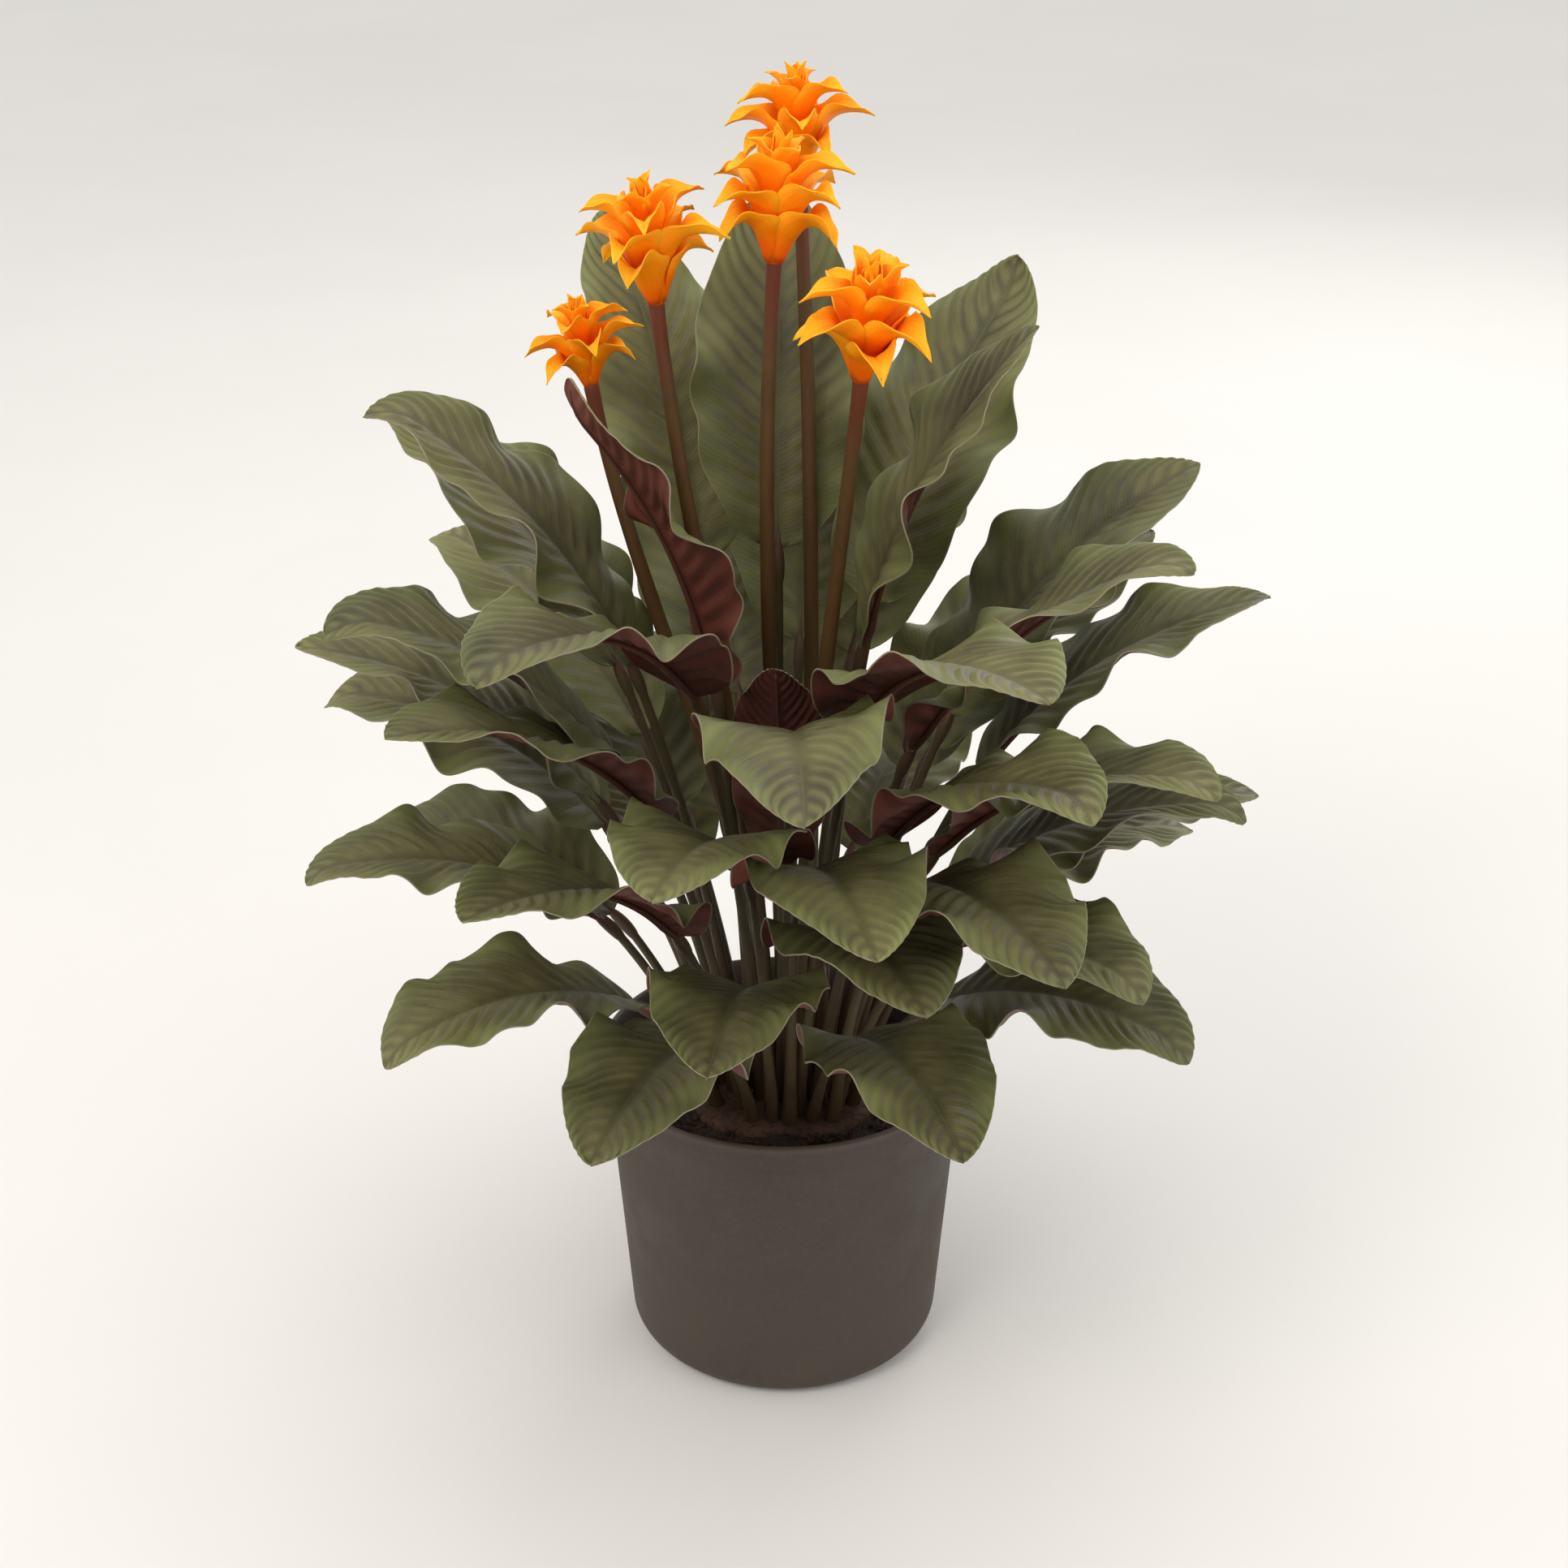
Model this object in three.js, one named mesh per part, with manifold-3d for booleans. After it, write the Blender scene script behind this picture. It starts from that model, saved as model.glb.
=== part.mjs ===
// A potted eternal flame calathea (Calathea crocata): leaves and flower stems that grow
// from one rootstock, set in potting mix in a tapered nursery pot.
//
// Units are millimetres and +Z is up. The origin is the middle of the pot's foot, which
// stands on z = 0. The plant's front looks along -Y.

import * as THREE from 'three';
import { LoftGeometry } from 'three/addons/geometries/LoftGeometry.js';
import { mergeVertices } from 'three/addons/utils/BufferGeometryUtils.js';
import Module from 'manifold-3d';

const wasm = await Module();
wasm.setup();

// ---------------------------------------------------------------- driving dimensions

const GAP = 0.3; // clearance between pieces that touch
const JOIN_TOLERANCE = 0.12; // how far a joined or cut surface may be simplified

// The rim is a band that stands out from the wall, `rimRound` is the chamfer of its lip
// and `rimWidth` the thickness of the lip.
const POT = {
  height: 112,
  rimRadius: 65,
  rimDepth: 9,
  rimRound: 1.2,
  rimWidth: 2.4,
  shoulderRadius: 62.5,
  footRadius: 54.5,
  cornerRadius: 11,
  wall: 1.6,
  floor: 2.2,
  segments: 30,
};

const DRAIN = { count: 8, radius: 4, ring: 34, sides: 12 };

// The mix rises by `mound` to its middle, and dips by `edgeDip` over its outer `edgeWidth`.
const MIX = { surface: 97, mound: 1.5, edgeWidth: 4, edgeDip: 1 };

// Each knob of the rootstock narrows to `footShare` of its radius over its lower part.
const ROOTSTOCK = {
  lobes: 5,
  lobeRadius: 22,
  lobeDepth: 20,
  lobeOffset: 17,
  firstLobe: 0.25,
  footShare: 0.6,
  footDepth: 9,
  chamfer: 1.5,
  top: 99.5,
  segments: 10,
};

const SPROUT_LEVEL = ROOTSTOCK.top + GAP; // where petioles and flower stems begin

const LEAF = {
  sheathRadius: 2.7,
  petioleRadius: 1.5,
  pulvinusRadius: 2.1,
  pulvinusLength: 12,
  midribHalf: 0.9,
  laminaHalf: 0.55,
  marginHalf: 0.35,
  tipThinning: 0.35,
  petioleSections: 3,
  bladeSections: 9,
  ringSides: 10,
  waves: 2.6,
};

// The blade's outline is a sine arch: `skew` moves its widest place towards the foot, and
// `foot` and `tip` blunt or sharpen its ends.
const OUTLINE = { skew: 0.86, foot: 0.55, tip: 0.72, least: 0.02 };

const STEM = { footRadius: 2.8, topRadius: 2.2, sections: 7, sides: 8 };

// Leaf habits, from the upright crown to the arching skirt. `ring` is the distance of the
// foot from the pot's axis, `lean` and `pitch` are the angles from the vertical at the two
// ends of the petiole and of the blade, `fold` is the angle at which the blade's halves
// rise from the midrib and `wave` is the height of the ripples along its edge.
const CROWN = {
  ring: 12, petiole: 178, lean: [2, 7], blade: 122, width: 57, pitch: [8, 38], fold: 17, wave: 4,
};
const YOUNG = {
  ring: 9, petiole: 82, lean: [1, 4], blade: 84, width: 34, pitch: [6, 28], fold: 22, wave: 3,
};
const SHOULDER = {
  ring: 15, petiole: 158, lean: [5, 15], blade: 124, width: 58, pitch: [18, 52], fold: 16, wave: 5,
};
const BROW = {
  ring: 17, petiole: 142, lean: [7, 20], blade: 120, width: 56, pitch: [24, 62], fold: 15, wave: 4,
};
const UPPER = {
  ring: 19, petiole: 128, lean: [8, 24], blade: 120, width: 58, pitch: [28, 74], fold: 15, wave: 5,
};
const WAIST = {
  ring: 22, petiole: 108, lean: [10, 27], blade: 116, width: 56, pitch: [34, 82], fold: 15, wave: 4,
};
const MIDDLE = {
  ring: 24, petiole: 92, lean: [12, 30], blade: 112, width: 56, pitch: [38, 90], fold: 15, wave: 5,
};
const LOW = {
  ring: 27, petiole: 72, lean: [16, 34], blade: 106, width: 54, pitch: [45, 100], fold: 15, wave: 4,
};
const SKIRT = {
  ring: 29, petiole: 52, lean: [20, 38], blade: 102, width: 54, pitch: [52, 112], fold: 16, wave: 4,
};

// A blade that follows its petiole; `turn` swings it round the vertical and `roll` turns it
// about its midrib, in degrees.
const STRAIGHT = { turn: 0, roll: 0 };

// One row per leaf: its habit, its compass direction (0 = +X, 90 = +Y), the phase of its
// ripples and whatever it has of its own.
const LEAVES = [
  { ...CROWN, azimuth: 94, turn: -4, roll: 4, phase: 0 },
  { ...CROWN, azimuth: 206, turn: 4, roll: -4, phase: 90, petiole: 146, pitch: [10, 44] },
  { ...CROWN, azimuth: -6, roll: 10, phase: 200, petiole: 156, pitch: [10, 42] },
  { ...YOUNG, azimuth: 266, phase: 30 },
  { ...SHOULDER, azimuth: 48, turn: -4, roll: 10, phase: 40, blade: 128 },
  { ...SHOULDER, azimuth: 124, roll: -4, phase: 140, petiole: 172, pitch: [16, 44] },
  { ...SHOULDER, azimuth: 180, roll: -8, phase: 300, petiole: 152, lean: [6, 18], pitch: [22, 60] },
  { ...SHOULDER, azimuth: 238, phase: 120, petiole: 160, lean: [5, 18], pitch: [38, 94] },
  { ...SHOULDER, azimuth: -88, roll: 6, phase: 260, petiole: 144, lean: [5, 20], pitch: [44, 104] },
  { ...SHOULDER, azimuth: -63, phase: 70, petiole: 152, lean: [5, 19], pitch: [38, 92] },
  { ...SHOULDER, azimuth: -26, roll: 4, phase: 180, petiole: 130, lean: [6, 18], pitch: [28, 66] },
  { ...BROW, azimuth: 84, phase: 320, petiole: 138 },
  { ...BROW, ring: 20, azimuth: 223, phase: 60, petiole: 117, lean: [9, 22], pitch: [36, 83] },
  { ...UPPER, azimuth: 17, roll: 8, phase: 20, pitch: [26, 68] },
  { ...UPPER, azimuth: 67, turn: 4, phase: 60, petiole: 134 },
  { ...UPPER, azimuth: 106, roll: -6, phase: 250, petiole: 118, pitch: [32, 82] },
  { ...UPPER, azimuth: 154, phase: 150, petiole: 142, pitch: [28, 69] },
  { ...UPPER, azimuth: 204, roll: -8, phase: 330, petiole: 126, pitch: [30, 76] },
  { ...UPPER, ring: 21, azimuth: 258, turn: -2, phase: 10, petiole: 102, pitch: [38, 94] },
  { ...UPPER, ring: 21, azimuth: -57, roll: 6, phase: 220, petiole: 113, lean: [9, 25], pitch: [36, 86] },
  { ...WAIST, azimuth: 34, phase: 280 },
  { ...WAIST, azimuth: 141, phase: 10, petiole: 111, pitch: [37, 86] },
  { ...WAIST, azimuth: 186, phase: 100 },
  { ...WAIST, azimuth: -35, phase: 350, petiole: 102, pitch: [36, 88] },
  { ...WAIST, azimuth: -2, phase: 170, petiole: 116, pitch: [32, 78] },
  { ...MIDDLE, azimuth: 48, phase: 110, petiole: 94 },
  { ...MIDDLE, azimuth: 90, roll: 6, phase: 210, petiole: 88 },
  { ...MIDDLE, azimuth: 128, phase: 70, petiole: 80, pitch: [40, 94] },
  { ...MIDDLE, azimuth: 168, roll: -6, phase: 170, petiole: 90, pitch: [40, 96] },
  { ...MIDDLE, azimuth: 233, phase: 270, petiole: 79 },
  { ...MIDDLE, azimuth: -78, turn: 4, phase: 350, petiole: 78, pitch: [42, 100] },
  { ...MIDDLE, azimuth: -16, phase: 30, petiole: 76 },
  { ...LOW, azimuth: 4, phase: 200 },
  { ...LOW, azimuth: 110, phase: 300 },
  { ...LOW, azimuth: 196, phase: 40 },
  { ...LOW, azimuth: 262, phase: 140, petiole: 64 },
  { ...LOW, azimuth: -48, phase: 240 },
  { ...SKIRT, azimuth: 22, phase: 130 },
  { ...SKIRT, azimuth: 68, roll: 6, phase: 30, petiole: 58 },
  { ...SKIRT, azimuth: 124, phase: 220 },
  { ...SKIRT, azimuth: 162, roll: -6, phase: 80, petiole: 54 },
  { ...SKIRT, azimuth: 216, phase: 310, petiole: 48 },
  { ...SKIRT, azimuth: 248, phase: 260, petiole: 42 },
  { ...SKIRT, azimuth: 290, phase: 110, petiole: 46 },
  { ...SKIRT, azimuth: -34, roll: 6, phase: 190, petiole: 46 },
  { ...MIDDLE, ring: 29, azimuth: 274, turn: 8, phase: 200, petiole: 104, lean: [8, 22], pitch: [46, 102] },
  { ...MIDDLE, ring: 32, azimuth: 302, turn: -8, phase: 40, petiole: 100, lean: [9, 26], pitch: [50, 106] },
];

// One row per flower. `top` is where its stem ends and the head begins, `lean` and
// `azimuth` give the head's axis, `size` scales the head and `spin` turns it on its stem.
const FLOWERS = [
  { foot: [-5.5, -2], top: [-39, -10, 383], lean: 6, azimuth: 200, size: 1, spin: 0 },
  { foot: [0, 0], top: [-3, 0, 393], lean: 4, azimuth: 20, size: 1.02, spin: 70 },
  { foot: [4.5, -4.5], top: [23, -36, 367], lean: 14, azimuth: -70, size: 1.04, spin: 150 },
  { foot: [-4, 5], top: [-62, 23, 346], lean: 10, azimuth: 170, size: 0.76, spin: 215 },
  { foot: [9, 5], top: [5, 38, 409], lean: 6, azimuth: 120, size: 0.92, spin: 290 },
];

// The head in its own frame, for size 1: a funnel, then bracts in tiers. `level` and
// `radius` place a bract's foot, `pitch` is its angle from the axis at foot and tip.
const FUNNEL = [
  [2.2, 0],
  [4.6, 6],
  [6.6, 14],
  [4.8, 24],
  [1.6, 34],
];

const BRACT_TIERS = [
  { count: 3, start: 20, level: 3, radius: 3, length: 25, width: 13, pitch: [14, 128], sections: 4 },
  { count: 4, start: 65, level: 8, radius: 4, length: 29, width: 15, pitch: [12, 104], sections: 4 },
  { count: 3, start: 40, level: 17, radius: 3.5, length: 24, width: 13, pitch: [10, 96], sections: 4 },
  { count: 3, start: 100, level: 27, radius: 2, length: 14, width: 8, pitch: [6, 46], sections: 3 },
];

const FUNNEL_SIDES = 8;

// `cup` raises a bract's edges above its keel, and `foot` is where along its outline, from
// 0 to 1, the bract leaves the head.
const BRACT = { thickness: 1.4, tipThinning: 0.4, cup: 0.42, foot: 0.08, bluntness: 0.8, least: 0.06 };

// ------------------------------------------------------------------------- materials

function finish(color, roughness) {
  return new THREE.MeshStandardMaterial({ color, roughness, metalness: 0 });
}

const POT_PLASTIC = finish(0x5a5048, 0.62);
const MIX_PEAT = finish(0x3a2a20, 0.95);
const ROOTSTOCK_BARK = finish(0x6b4a30, 0.85);
const LEAF_GREEN = finish(0x46523a, 0.5);
const STEM_BROWN = finish(0x5e3a2a, 0.55);
const BRACT_ORANGE = finish(0xff9a14, 0.5);

// ------------------------------------------------------------------- shared geometry

const radians = THREE.MathUtils.degToRad;
const lerp = THREE.MathUtils.lerp;

// A point in the plane of x (outwards) and z (up) on an arc of the given length, whose
// angle from the vertical goes evenly from lean[0] to lean[1] degrees.
function arcPoint(start, length, lean, t) {
  const from = radians(lean[0]);
  const sweep = radians(lean[1] - lean[0]);
  const now = from + sweep * t;
  const scale = length / sweep;
  return {
    x: start.x + scale * (Math.cos(from) - Math.cos(now)),
    z: start.z + scale * (Math.sin(now) - Math.sin(from)),
    lean: now,
  };
}

// The closed solid that a geometry bounds, as a manifold.
function toSolid(geometry) {
  const shape = new THREE.BufferGeometry().copy(geometry);
  shape.deleteAttribute('normal');
  shape.deleteAttribute('uv');
  const merged = mergeVertices(shape, 1e-4);
  return new wasm.Manifold(new wasm.Mesh({
    numProp: 3,
    vertProperties: new Float32Array(merged.attributes.position.array),
    triVerts: new Uint32Array(merged.index.array),
  }));
}

function toGeometry(solid) {
  const mesh = solid.simplify(JOIN_TOLERANCE).getMesh();
  const geometry = new THREE.BufferGeometry();
  geometry.setAttribute('position', new THREE.BufferAttribute(mesh.vertProperties, 3));
  geometry.setIndex(new THREE.BufferAttribute(mesh.triVerts, 1));
  geometry.computeVertexNormals();
  return geometry;
}

// A profile of [radius, height] points turned round +Z.
function turned(profile, segments) {
  const points = profile.map(([radius, height]) => new THREE.Vector2(radius, height));
  return new THREE.LatheGeometry(points, segments).rotateX(Math.PI / 2);
}

function named(name, geometry, material) {
  const mesh = new THREE.Mesh(geometry, material);
  mesh.name = name;
  return mesh;
}

function numbered(name, index) {
  return `${name}_${String(index + 1).padStart(2, '0')}`;
}

// ------------------------------------------------------------------------------- pot

// Outer radius of the pot's wall at a height above its round lower corner.
function potRadius(height) {
  return lerp(POT.footRadius, POT.shoulderRadius, height / (POT.height - POT.rimDepth));
}

// Points round the pot's lower corner, from its foot to its wall.
function cornerArc(radius, level, round, steps = 3) {
  const points = [];
  for (let i = 0; i <= steps; i++) {
    const angle = (i / steps) * (Math.PI / 2);
    points.push([radius - round * (1 - Math.sin(angle)), level + round * (1 - Math.cos(angle))]);
  }
  return points;
}

function makePot() {
  const { height, rimRadius, rimDepth, rimRound, rimWidth, cornerRadius, wall, floor } = POT;
  const lip = height - rimDepth;
  const outerCorner = cornerArc(potRadius(cornerRadius), 0, cornerRadius);
  const innerRound = cornerRadius - wall;
  const innerCorner = cornerArc(potRadius(cornerRadius) - wall, floor, innerRound).reverse();
  const profile = [
    [0, 0],
    ...outerCorner,
    [potRadius(lip), lip],
    [rimRadius - rimRound / 2, lip],
    [rimRadius, lip + rimRound],
    [rimRadius, height - rimRound],
    [rimRadius - rimRound, height],
    [rimRadius - rimWidth, height],
    [potRadius(lip) - wall, lip],
    ...innerCorner,
    [0, floor],
  ];
  let pot = toSolid(turned(profile, POT.segments));
  for (let i = 0; i < DRAIN.count; i++) {
    const angle = ((i + 0.5) / DRAIN.count) * 2 * Math.PI;
    const hole = new THREE.CylinderGeometry(DRAIN.radius, DRAIN.radius, 4 * floor, DRAIN.sides);
    hole.rotateX(Math.PI / 2);
    hole.translate(DRAIN.ring * Math.cos(angle), DRAIN.ring * Math.sin(angle), floor / 2);
    pot = pot.subtract(toSolid(hole));
  }
  return named('pot', toGeometry(pot), POT_PLASTIC);
}

// ---------------------------------------------------------------------------- leaves

// Half the blade's width at u, from 0 at its foot to 1 at its tip.
function halfWidth(leaf, u) {
  const oval = Math.sin(Math.PI * u ** OUTLINE.skew) ** lerp(OUTLINE.foot, OUTLINE.tip, u);
  return 0.5 * leaf.width * Math.max(oval, OUTLINE.least);
}

// How far the blade stands above its midrib at v, from -1 at one edge to 1 at the other.
function bladeRise(leaf, u, v) {
  const side = Math.abs(v) * halfWidth(leaf, u);
  const keel = side * Math.tan(radians(leaf.fold)) * (1 - 0.45 * Math.abs(v));
  const offset = v < 0 ? 0.6 * Math.PI : 0;
  const ripple = Math.sin(2 * Math.PI * LEAF.waves * u + radians(leaf.phase) + offset);
  const envelope = Math.sin(Math.PI * Math.min(1, 1.1 * u));
  return keel + leaf.wave * ripple * envelope * Math.abs(v) ** 2;
}

// The petiole's radius, from the sheath at its foot to its slim upper part.
function petioleRadius(t) {
  return lerp(LEAF.petioleRadius, LEAF.sheathRadius, (1 - t) ** 3);
}

// The leaf's axis in its own frame: foot at the origin, growing towards +X.
function leafAxis(leaf) {
  const top = arcPoint({ x: 0, z: 0 }, leaf.petiole, leaf.lean, 1);
  const joint = [leaf.lean[1], leaf.pitch[0]];
  const neck = arcPoint(top, LEAF.pulvinusLength, joint, 1);
  return {
    petiole: (t) => arcPoint({ x: 0, z: 0 }, leaf.petiole, leaf.lean, t),
    pulvinus: (t) => arcPoint(top, LEAF.pulvinusLength, joint, t),
    blade: (u) => arcPoint(neck, leaf.blade, leaf.pitch, u),
    neck,
  };
}

// Side and upper directions of a leaf at a point of its axis.
function leafFrame(lean, roll) {
  const along = new THREE.Vector3(Math.sin(lean), 0, Math.cos(lean));
  const side = new THREE.Vector3(0, 1, 0).applyAxisAngle(along, roll);
  return { side, upper: new THREE.Vector3().crossVectors(along, side) };
}

// A ring of points: over the upper face from side to side, then back underneath.
function roundRing(place, radius, roll = 0) {
  const { side, upper } = leafFrame(place.lean, roll);
  const ring = [];
  for (let k = 0; k < LEAF.ringSides; k++) {
    const angle = ((k + 0.5) / LEAF.ringSides) * 2 * Math.PI;
    ring.push(new THREE.Vector3(place.x, 0, place.z)
      .addScaledVector(side, radius * Math.cos(angle))
      .addScaledVector(upper, radius * Math.sin(angle)));
  }
  return ring;
}

// The places across the blade of a ring's upper points, and half the thickness there.
const BLADE_RING = [
  { v: 1, half: LEAF.marginHalf },
  { v: 0.5, half: LEAF.laminaHalf },
  { v: 0, half: LEAF.midribHalf },
  { v: -0.5, half: LEAF.laminaHalf },
  { v: -1, half: LEAF.marginHalf },
];

function bladeRing(leaf, place, u) {
  const { side, upper } = leafFrame(place.lean, radians(leaf.roll));
  const width = halfWidth(leaf, u);
  const thin = lerp(1, LEAF.tipThinning, u);
  const pointAt = ({ v, half }, face) => new THREE.Vector3(place.x, 0, place.z)
    .addScaledVector(side, v * width)
    .addScaledVector(upper, bladeRise(leaf, u, v) + face * half * thin);
  return [
    ...BLADE_RING.map((spot) => pointAt(spot, 1)),
    ...BLADE_RING.toReversed().map((spot) => pointAt(spot, -1)),
  ];
}

// The blade swings about the vertical through the top of its petiole.
function swing(ring, leaf, neck) {
  const pivot = new THREE.Vector3(neck.x, 0, neck.z);
  const up = new THREE.Vector3(0, 0, 1);
  return ring.map((p) => p.sub(pivot).applyAxisAngle(up, radians(leaf.turn)).add(pivot));
}

function leafGeometry(leaf) {
  const axis = leafAxis(leaf);
  const sections = [roundRing({ x: 0, z: 0, lean: 0 }, petioleRadius(0))];
  for (let i = 1; i <= LEAF.petioleSections; i++) {
    const t = (i / (LEAF.petioleSections + 1)) ** 1.3;
    sections.push(roundRing(axis.petiole(t), petioleRadius(t)));
  }
  sections.push(roundRing(axis.pulvinus(0.1), LEAF.petioleRadius));
  sections.push(roundRing(axis.pulvinus(0.5), LEAF.pulvinusRadius, radians(leaf.roll) / 2));
  sections.push(roundRing(axis.pulvinus(0.95), LEAF.petioleRadius, radians(leaf.roll)));
  for (let i = 0; i <= LEAF.bladeSections; i++) {
    const u = 0.5 - 0.5 * Math.cos(Math.PI * lerp(0.1, 0.96, i / LEAF.bladeSections));
    sections.push(swing(bladeRing(leaf, axis.blade(u), u), leaf, axis.neck));
  }
  const geometry = new LoftGeometry(sections, { capStart: true, capEnd: true });
  return matchCreases(geometry, sections.length);
}

// Splits the four-cornered faces underneath along their other diagonal. A twisted blade
// then creases along the same lines above and below, and keeps its thickness there.
function matchCreases(geometry, rings) {
  const { index } = geometry;
  for (let ring = 0; ring < rings - 1; ring++) {
    for (let side = LEAF.ringSides / 2; side < LEAF.ringSides; side++) {
      const first = 6 * (ring * LEAF.ringSides + side);
      const [a, b, d, , c] = index.array.slice(first, first + 5);
      [a, b, c, a, c, d].forEach((corner, k) => index.setX(first + k, corner));
    }
  }
  return geometry;
}

function makeLeaf(row, index) {
  const leaf = { ...STRAIGHT, ...row };
  const mesh = named(numbered('leaf', index), leafGeometry(leaf), LEAF_GREEN);
  const angle = radians(leaf.azimuth);
  mesh.position.set(leaf.ring * Math.cos(angle), leaf.ring * Math.sin(angle), SPROUT_LEVEL);
  mesh.rotation.z = angle;
  return mesh;
}

// --------------------------------------------------------------------------- flowers

function headAxis(flower) {
  const lean = radians(flower.lean);
  const azimuth = radians(flower.azimuth);
  return new THREE.Vector3(
    Math.sin(lean) * Math.cos(azimuth),
    Math.sin(lean) * Math.sin(azimuth),
    Math.cos(lean),
  );
}

function stemCurve(flower) {
  const foot = new THREE.Vector3(...flower.foot, SPROUT_LEVEL);
  const top = new THREE.Vector3(...flower.top);
  const reach = 0.36 * foot.distanceTo(top);
  return new THREE.CubicBezierCurve3(
    foot,
    foot.clone().add(new THREE.Vector3(0, 0, reach)),
    top.clone().addScaledVector(headAxis(flower), -reach),
    top,
  );
}

function stemRing(point, along, radius) {
  const side = new THREE.Vector3(0, 1, 0).cross(along).normalize();
  const other = new THREE.Vector3().crossVectors(along, side);
  const ring = [];
  for (let k = 0; k < STEM.sides; k++) {
    const angle = (k / STEM.sides) * 2 * Math.PI;
    ring.push(point.clone()
      .addScaledVector(side, radius * Math.cos(angle))
      .addScaledVector(other, radius * Math.sin(angle)));
  }
  return ring;
}

function stemGeometry(flower) {
  const curve = stemCurve(flower);
  const sections = [];
  for (let i = 0; i <= STEM.sections; i++) {
    const t = i / STEM.sections;
    const radius = lerp(STEM.footRadius, STEM.topRadius, t);
    sections.push(stemRing(curve.getPoint(t), curve.getTangent(t), radius));
  }
  return new LoftGeometry(sections, { capStart: true, capEnd: true });
}

// A boat-shaped bract in the head's frame: it rises, spreads and curls over at its tip.
function bractGeometry(tier, azimuth) {
  const sections = [];
  for (let i = 0; i < tier.sections; i++) {
    const t = i / (tier.sections - 1);
    const place = arcPoint({ x: tier.radius, z: tier.level }, tier.length, tier.pitch, t);
    const { side, upper } = leafFrame(place.lean, 0);
    const oval = Math.sin(Math.PI * lerp(BRACT.foot, 1, t)) ** BRACT.bluntness;
    const half = 0.5 * tier.width * Math.max(oval, BRACT.least);
    const rise = BRACT.cup * half * (1 - t);
    const skin = 0.5 * BRACT.thickness * lerp(1, BRACT.tipThinning, t);
    const centre = new THREE.Vector3(place.x, 0, place.z);
    sections.push([
      centre.clone().addScaledVector(side, half).addScaledVector(upper, rise),
      centre.clone().addScaledVector(upper, skin),
      centre.clone().addScaledVector(side, -half).addScaledVector(upper, rise),
      centre.clone().addScaledVector(upper, -skin),
    ]);
  }
  const bract = new LoftGeometry(sections, { capStart: true, capEnd: true });
  return bract.rotateZ(azimuth);
}

function headGeometry(size) {
  const profile = [[0, 0], ...FUNNEL, [0, FUNNEL.at(-1)[1] + 1]];
  let head = toSolid(turned(profile, FUNNEL_SIDES));
  for (const tier of BRACT_TIERS) {
    for (let i = 0; i < tier.count; i++) {
      const azimuth = radians(tier.start + (i * 360) / tier.count);
      head = head.add(toSolid(bractGeometry(tier, azimuth)));
    }
  }
  return toGeometry(head).scale(size, size, size);
}

function makeFlower(flower, index) {
  const axis = headAxis(flower);
  const group = new THREE.Group();
  group.add(named(numbered('flower_stem', index), stemGeometry(flower), STEM_BROWN));
  const head = named(numbered('flower_head', index), headGeometry(flower.size), BRACT_ORANGE);
  head.position.set(...flower.top).addScaledVector(axis, GAP);
  head.quaternion.setFromUnitVectors(new THREE.Vector3(0, 0, 1), axis);
  head.rotateZ(radians(flower.spin));
  group.add(head);
  return group;
}

// ------------------------------------------------------------ rootstock, potting mix

// The rhizome clump: flat-topped round knobs that have grown together. `extra` makes it
// larger all round.
function rootstockSolid(extra) {
  const { lobeRadius, lobeDepth, lobeOffset, chamfer, top } = ROOTSTOCK;
  const radius = lobeRadius + extra;
  const foot = top - lobeDepth - extra;
  const profile = [
    [0, foot],
    [ROOTSTOCK.footShare * radius, foot],
    [radius, foot + ROOTSTOCK.footDepth],
    [radius, top - chamfer],
    [radius - chamfer, top],
    [0, top],
  ];
  const knobs = [];
  for (let i = 0; i < ROOTSTOCK.lobes; i++) {
    const angle = ((i + ROOTSTOCK.firstLobe) / ROOTSTOCK.lobes) * 2 * Math.PI;
    const knob = turned(profile, ROOTSTOCK.segments);
    knob.translate(lobeOffset * Math.cos(angle), lobeOffset * Math.sin(angle), 0);
    knobs.push(toSolid(knob));
  }
  return knobs.reduce((clump, knob) => clump.add(knob));
}

function mixSolid() {
  const { cornerRadius, wall, floor } = POT;
  const inner = potRadius(cornerRadius) - wall - GAP;
  const top = potRadius(MIX.surface) - wall - 2 * GAP;
  const profile = [
    [0, floor + GAP],
    ...cornerArc(inner, floor + GAP, cornerRadius - wall),
    [top, MIX.surface - MIX.edgeDip],
    [top - MIX.edgeWidth, MIX.surface],
    [0, MIX.surface + MIX.mound],
  ];
  return toSolid(turned(profile, POT.segments));
}

// ---------------------------------------------------------------------------- the plant

const plant = new THREE.Group();
const mix = mixSolid().subtract(rootstockSolid(GAP));

plant.add(makePot());
plant.add(named('potting_mix', toGeometry(mix), MIX_PEAT));
plant.add(named('rootstock', toGeometry(rootstockSolid(0)), ROOTSTOCK_BARK));
plant.add(...LEAVES.map(makeLeaf));
plant.add(...FLOWERS.map(makeFlower));

export default plant;
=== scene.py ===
"""A potted eternal flame calathea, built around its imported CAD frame.

Leaves and flower stems grow from one rootstock, in potting mix in a tapered nursery pot,
and a flame-like head of orange bracts crowns each stem. Lengths in the plant's classes are
in millimetres, as in the part's source. Those of the finishes and the studio are in metres,
and so is every mesh as it is written. +Z is up, the origin is the middle of the pot's foot,
and the plant's front looks along -Y.
"""

import logging
import math
from dataclasses import dataclass, field, replace
from enum import Enum
from random import Random
from typing import Callable, Iterable, Sequence

import bmesh
import bpy
from mathutils import Matrix, Quaternion, Vector, noise


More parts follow.
